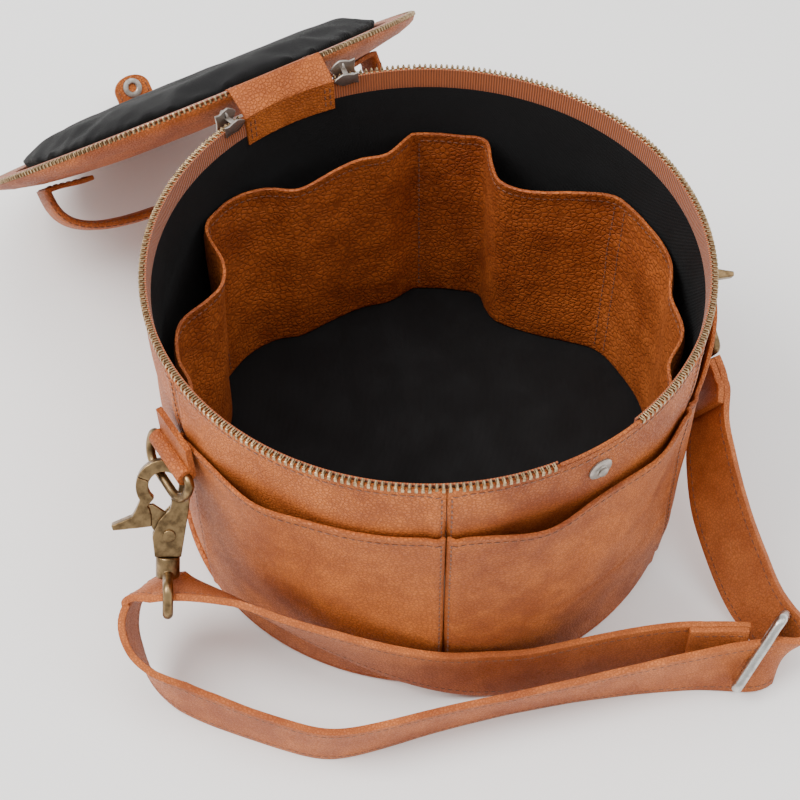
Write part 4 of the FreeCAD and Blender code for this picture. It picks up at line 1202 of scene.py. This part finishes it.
def handle_place(u, v):
    """v goes along the arch; u goes round its rounded section."""
    angle = math.pi * (0.0005 + 0.999 * (0.5 - 0.5 * math.cos(math.pi * v)))
    here = arch_point(angle)
    way = arch_point(angle + 0.003) - arch_point(angle - 0.003)
    way.normalize()
    out = way.cross(Vector((0, 1, 0)))
    around = 2 * math.pi * u
    c, s = math.cos(around), math.sin(around)
    across = math.copysign(abs(c) ** 0.55, c) * HANDLE_WIDE / 2
    puff = math.copysign(abs(s) ** 0.8, s) * HANDLE_LEATHER / 2
    return Vector((0, 0, HANDLE_FOOT)) + here + Vector((0, across, 0)) + out * puff


handle = sheet("handle_leather", 40, 150, handle_place, (54.0, 250.0), closed=True,
               move=LID_OPEN)
tidy_mesh(handle)
finished(handle, "handle", [LEATHER], smooth_angle=60)
stands_for(handle, "leather", "carry_handle")
handle_rows = [row_of(handle_place, lambda t, c=column: (c, 0.07 + 0.86 * t), 0.1)
               for column in (0.065, 0.435, 0.565, 0.935)]
sewn("stitching_handle", "handle", handle_rows, TAN_THREAD, LID_OPEN)
print("handle", [round(edge, 3) for edge in handle.dimensions])

# %% Handle ends, sewn to the cover
ends = []
for side in (-1, 1):
    def end_place(u, v, side=side):
        x = side * (73.0 + 25.0 * v)
        return Vector((x, side * (2 * u - 1) * 11.0,
                       eased(COVER_LINE[:8], abs(x)) + 2.4))
    ends.append(sheet("handle_end", 16, 18, end_place, (22.0, 25.0), 2.4, edge=0.6,
                      move=LID_OPEN))
    rows = [row_of(end_place, line, 0.1) for line in (
        lambda t: (0.09, 0.1 + 0.8 * t), lambda t: (0.91, 0.1 + 0.8 * t),
        lambda t: (0.09 + 0.82 * t, 0.1))]
    sewn(f"stitching_handle_end_{'left' if side < 0 else 'right'}", "lid", rows, TAN_THREAD,
         LID_OPEN)
piece = join_all("handle_ends", ends)
finished(piece, "lid", [LEATHER, DYED_EDGE])
stands_for(piece, "leather", "handle_anchors")

# %% [markdown]
# ## Shoulder strap
# The strap is 30 mm wide and made of two layers with pale cut edges. It is not a cord: it
# holds its width upright as it leans on the floor, so its path is a list of stations, each with
# a middle and the way its width points. A smooth curve through the stations carries a grid.

# %% Strap path
UPRIGHT = (0.0, 0.1, 1.0)
STRAP_WIDE, STRAP_THICK = 30.0, 3.0
STRAP_OUT = [
    ((57, -171, 16), (0.35, 0.10, 0.93)), ((43, -158, 15), (0.10, 0.10, 1.0)),
    ((19, -145, 15), (0.15, 0.08, 0.98)), ((-4, -135.5, 15), UPRIGHT),
    ((-26, -127.5, 15), UPRIGHT), ((-48, -117.5, 18), UPRIGHT),
    ((-67, -107.5, 25), (0.0, -0.05, 1.0)), ((-85, -94.5, 34), (-0.10, -0.10, 1.0)),
    ((-101, -79.5, 42), (-0.15, -0.20, 0.97)), ((-115, -63, 47), (-0.20, -0.35, 0.92)),
    ((-127, -46, 50), (-0.22, -0.48, 0.85))]
STRAP_BACK = [
    ((-160, -15.5, 45), (-0.22, -0.48, 0.85)), ((-168, -20, 38), (-0.25, -0.35, 0.90)),
    ((-171.5, -31, 30), (-0.25, -0.20, 0.95)), ((-169, -44, 22), (-0.15, -0.05, 1.0)),
    ((-163, -55, 17), (-0.05, 0.0, 1.0)), ((-154, -68, 15), (0.0, -0.05, 1.0)),
    ((-144, -82, 15), (0.0, -0.10, 1.0)), ((-133, -96, 15), (0.0, -0.10, 1.0)),
    ((-121, -108, 15), (0.0, -0.12, 1.0)), ((-106, -115, 15), (0.0, -0.15, 1.0)),
    ((-78, -123.5, 15), (0.0, -0.20, 0.98)), ((-46, -134.5, 15), (0.0, -0.25, 0.97)),
    ((-18, -145, 15), (0.0, -0.22, 0.98)), ((8, -155.5, 15), (0.0, -0.12, 1.0)),
    ((34, -167, 15), (0.10, 0.0, 1.0)), ((52, -176.5, 15), (0.35, 0.08, 0.93)),
    ((64, -181, 14), (0.50, 0.12, 0.85)), ((73.5, -178.5, 14), (0.50, -0.15, 0.85)),
    ((76, -169, 15), (0.38, -0.40, 0.83)), ((76, -156, 18), (0.42, -0.55, 0.72)),
    ((78.5, -139, 25.5), (0.45, -0.60, 0.66)), ((84, -116, 38), (0.42, -0.58, 0.70)),
    ((93, -96, 48.5), (0.30, -0.45, 0.82)), ((104, -81, 55), (0.12, -0.44, 0.86))]
LEFT_LOOP = ((-149.09, -24.63, 53.84), (-0.2878, -0.7364, 0.6123))
RIGHT_WIDE = (-0.2064, -0.4483, 0.8697)
STRAP_END = Vector((117.67, -60.75, 65.85))
RIGHT_DOWN = Vector((-0.2396, -0.8386, -0.4892))
stations = STRAP_OUT + [LEFT_LOOP] + STRAP_BACK + [(STRAP_END + RIGHT_DOWN * 14, RIGHT_WIDE),
                                                   (STRAP_END, RIGHT_WIDE)]
stations = [(Vector(spot), Vector(wide).normalized()) for spot, wide in stations]
knots = [0.0]
for (a, _), (b, _) in zip(stations, stations[1:]):
    knots.append(knots[-1] + (b - a).length)


def slopes():
    """Slopes that make the curve through the stations as smooth as a bent strip of wood."""
    count = len(stations)
    spans = [b - a for a, b in zip(knots, knots[1:])]
    rises = [(stations[k + 1][0] - stations[k][0]) / spans[k] for k in range(count - 1)]
    lower, middle, upper = [0.0] * count, [2.0] * count, [0.0] * count
    right = [rises[0] * 3] + [None] * (count - 2) + [rises[-1] * 3]
    upper[0] = lower[-1] = 1.0
    for k in range(1, count - 1):
        total = spans[k - 1] + spans[k]
        lower[k], upper[k] = spans[k] / total, spans[k - 1] / total
        right[k] = (rises[k - 1] * lower[k] + rises[k] * upper[k]) * 3
    for k in range(1, count):
        share = lower[k] / middle[k - 1]
        middle[k] -= share * upper[k - 1]
        right[k] = right[k] - right[k - 1] * share
    made = [None] * count
    made[-1] = right[-1] / middle[-1]
    for k in range(count - 2, -1, -1):
        made[k] = (right[k] - made[k + 1] * upper[k]) / middle[k]
    return made


station_slopes = slopes()


def strap_frame(at):
    """Middle, width and face of the strap at a length along its stations."""
    leg = max(k for k in range(len(knots) - 1) if knots[k] <= max(at, 0) + 1e-9)
    span = knots[leg + 1] - knots[leg]
    t = (at - knots[leg]) / span
    (a, wide_a), (b, wide_b) = stations[leg], stations[leg + 1]
    ma, mb = station_slopes[leg] * span, station_slopes[leg + 1] * span
    middle = (a * (2 * t ** 3 - 3 * t ** 2 + 1) + ma * (t ** 3 - 2 * t ** 2 + t)
              + b * (3 * t ** 2 - 2 * t ** 3) + mb * (t ** 3 - t ** 2))
    along = (a * (6 * t ** 2 - 6 * t) + ma * (3 * t ** 2 - 4 * t + 1)
             + b * (6 * t - 6 * t ** 2) + mb * (3 * t ** 2 - 2 * t)).normalized()
    wide = wide_a.lerp(wide_b, t)
    wide = (wide - along * wide.dot(along)).normalized()
    face = along.cross(wide)
    low = abs(wide.z) * STRAP_WIDE / 2 + abs(face.z) * STRAP_THICK / 2 + 0.2
    middle.z = max(middle.z, low)
    return middle, wide, face


def ribbon(first, last, shift, wide=STRAP_WIDE):
    def place(u, v):
        middle, way, face = strap_frame(first + (last - first) * v)
        return middle + way * ((2 * u - 1) * wide / 2) + face * shift
    return place


# %% Strap leather and its sewn-back ends
total = knots[-1]
piece = sheet("strap", 12, 380, ribbon(0, total, 0.0), (STRAP_WIDE, total), STRAP_THICK,
              offset=0.0, edge=0.5)
finished(piece, "root", [STRAP_LEATHER, RAW_EDGE])
stands_for(piece, "strap_leather", "shoulder_strap")
fold_long, fold_gap = 27.0, -(STRAP_THICK + 0.15)
folds = [sheet("fold", 12, 20, ribbon(first, last, fold_gap), (STRAP_WIDE, fold_long),
               STRAP_THICK, offset=0.0, edge=0.5)
         for first, last in ((0.3, fold_long), (total - fold_long, total - 0.3))]
piece = join_all("strap_ends", folds)
finished(piece, "root", [STRAP_LEATHER, RAW_EDGE])
stands_for(piece, "strap_leather", "strap_folds")
strap_rows = []
for column in (0.1, 0.9):
    for face in (1, -1):
        for first, last, shift in ((0, total, 0.0), (0.3, fold_long, fold_gap),
                                   (total - fold_long, total - 0.3, fold_gap)):
            place = ribbon(first, last, shift + face * STRAP_THICK / 2)
            spot = (lambda p, f: (lambda u, v: p(u if f > 0 else 1 - u, v)))(place, face)
            steps = 1500 if last - first > 100 else 60
            strap_rows.append(row_of(spot, lambda t, c=column: (c, 0.002 + 0.996 * t), 0.05,
                                     steps=steps))
sewn("stitching_strap", "root", strap_rows, TAN_THREAD)
print(f"strap {total:.0f} mm long")

# %% [markdown]
# ## Cast metal
# Hooks, gates, swivels, rings and the buckle are castings and bent wire. Their shapes come
# from the fixed frame, because they have to work: each is copied and remeshed finely, its
# sharp steps are smoothed as polishing would, it is swollen a little to make up for that, and
# it is thinned to a fair number of faces.

# %% Polished copies
def polished(node, body, finish, slot, voxel=0.42, rounds=4, faces=9000, swell=0.12):
    source = nodes[node]
    piece = source.copy()
    piece.data = source.data.copy()
    bpy.context.scene.collection.objects.link(piece)
    piece.name = "cast_" + node
    matrix = source.matrix_world.copy()
    piece.parent = None
    piece.matrix_world = matrix
    choose(piece)
    bpy.ops.object.transform_apply(location=True, rotation=True, scale=True)
    tidy_mesh(piece, 0.01)
    finish_with(piece, "REMESH", mode="VOXEL", voxel_size=voxel * MM)
    finish_with(piece, "SMOOTH", factor=0.5, iterations=rounds)
    finish_with(piece, "DISPLACE", strength=swell * MM, mid_level=0.0)
    share = faces / max(1, len(piece.data.polygons) * 2)
    if share < 1:
        finish_with(piece, "DECIMATE", ratio=share)
    finished(piece, body, [finish], smooth_angle=50)
    stands_for(piece, slot, node)


for side in ("left", "right"):
    polished(f"snap_hook_{side}", f"hook_{side}", BRONZE, "bronze_hardware", 0.36)
    polished(f"hook_gate_{side}", f"gate_{side}", BRONZE, "bronze_hardware", 0.32)
    polished(f"hook_pin_{side}", f"hook_{side}", BRONZE, "bronze_hardware", 0.2, faces=1500)
    polished(f"hook_swivel_{side}", "root", BRONZE, "bronze_hardware", 0.36)
    polished(f"d_ring_{side}", f"ring_{side}", BRONZE, "bronze_hardware", 0.3, faces=5000,
             swell=0.3)
polished("slide_buckle", "root", NICKEL, "nickel", 0.3, faces=8000, swell=0.55)

# %% [markdown]
# ## What is left of the frame
# Ring tabs, piping, the base and the hidden board keep their measured shapes. They get the
# same finishes and a rounded edge where an edge shows.

# %% Finishes on carried-over pieces
def hidden_stuff(name, colour, dark, rough):
    stuff = Finish(name, Sheen_Weight=0.2)
    lint = stuff.grain(0.9, detail=4.0)
    stuff.feed("Base Color", stuff.blend(lint, dark, colour))
    stuff.feed("Roughness", lint * 0.15 + rough)
    stuff.relief(lint, 0.2)
    return stuff.material


WADDING = hidden_stuff("wadding", ink(214, 208, 198), ink(182, 174, 162), 0.8)
BOARD = hidden_stuff("grey_board", ink(150, 138, 122), ink(118, 106, 92), 0.75)
KEEP = {"base_piping": POCKET_LEATHER, "base_panel": LEATHER, "base_board": BOARD,
        "base_lining": FLOOR_TWILL, "wall_interlining": WADDING, "ring_tabs": LEATHER,
        "lid_wadding": WADDING, "lid_board": BOARD}
for node, finish in KEEP.items():
    kept = nodes[node]
    kept.data.materials.clear()
    kept.data.materials.append(finish)
    if node == "ring_tabs":
        edge = kept.modifiers.new("edge", "BEVEL")
        edge.width, edge.segments, edge.limit_method = 0.5 * MM, 2, "ANGLE"

# %% [markdown]
# ## Room, light and camera
# The bag stands on a pale floor under soft light from a window on the left, with a weaker fill
# from the right. The camera looks down at the front of the bag from its left.

# %% Floor, lights, camera
deselect()
bpy.ops.mesh.primitive_plane_add(size=14, location=(0, 0, 0))
floor = bpy.context.object
floor.name = "floor"
paper = Finish("pale_floor", Specular_IOR_Level=0.25)
shade = paper.grain(0.004, detail=3.0)
paper.feed("Base Color", paper.blend(shade, ink(244, 243, 241), ink(250, 249, 248)))
paper.feed("Roughness", shade * 0.1 + 0.6)
floor.data.materials.append(paper.material)


def lamp(name, place, aim, size, watts, colour):
    deselect()
    bpy.ops.object.light_add(type="AREA", location=place)
    made = bpy.context.object
    made.name = name
    made.data.size, made.data.energy, made.data.color = size, watts, colour
    made.rotation_euler = (Vector(aim) - Vector(place)).to_track_quat("-Z", "Y").to_euler()


lamp("window", (-1.1, 0.5, 1.7), (0, 0, 0.08), 1.0, 40, (1.0, 0.99, 0.97))
lamp("fill", (1.3, -1.1, 1.3), (0, 0, 0.08), 1.4, 9, (0.98, 0.99, 1.0))
lamp("top", (0.1, -0.2, 2.2), (0, 0, 0.0), 1.8, 22, (1.0, 1.0, 1.0))
world = bpy.data.worlds.new("soft_room")
world.use_nodes = True
world.node_tree.nodes["Background"].inputs[0].default_value = (1.0, 1.0, 1.0, 1)
world.node_tree.nodes["Background"].inputs[1].default_value = 1.05
bpy.context.scene.world = world

TURN, RISE, TILT, AWAY = (math.radians(-32.2), math.radians(52.0), math.radians(-0.8), 0.627)
level = Vector((math.cos(TURN), math.sin(TURN), 0))
back = Vector((math.sin(TURN) * math.cos(RISE), -math.cos(TURN) * math.cos(RISE),
               math.sin(RISE)))
over = back.cross(level)
right = level * math.cos(TILT) + over * math.sin(TILT)
over = over * math.cos(TILT) - level * math.sin(TILT)
deselect()
bpy.ops.object.camera_add()
camera = bpy.context.object
middle = Vector((0, 0, 0.155)) + right * -0.0115 + over * -0.0628 + back * AWAY
camera.matrix_world = Matrix.Translation(middle) @ Matrix((right, over, back)).transposed(
    ).to_4x4()
camera.data.lens, camera.data.sensor_width = 67.7, 36.0
bpy.context.scene.camera = camera
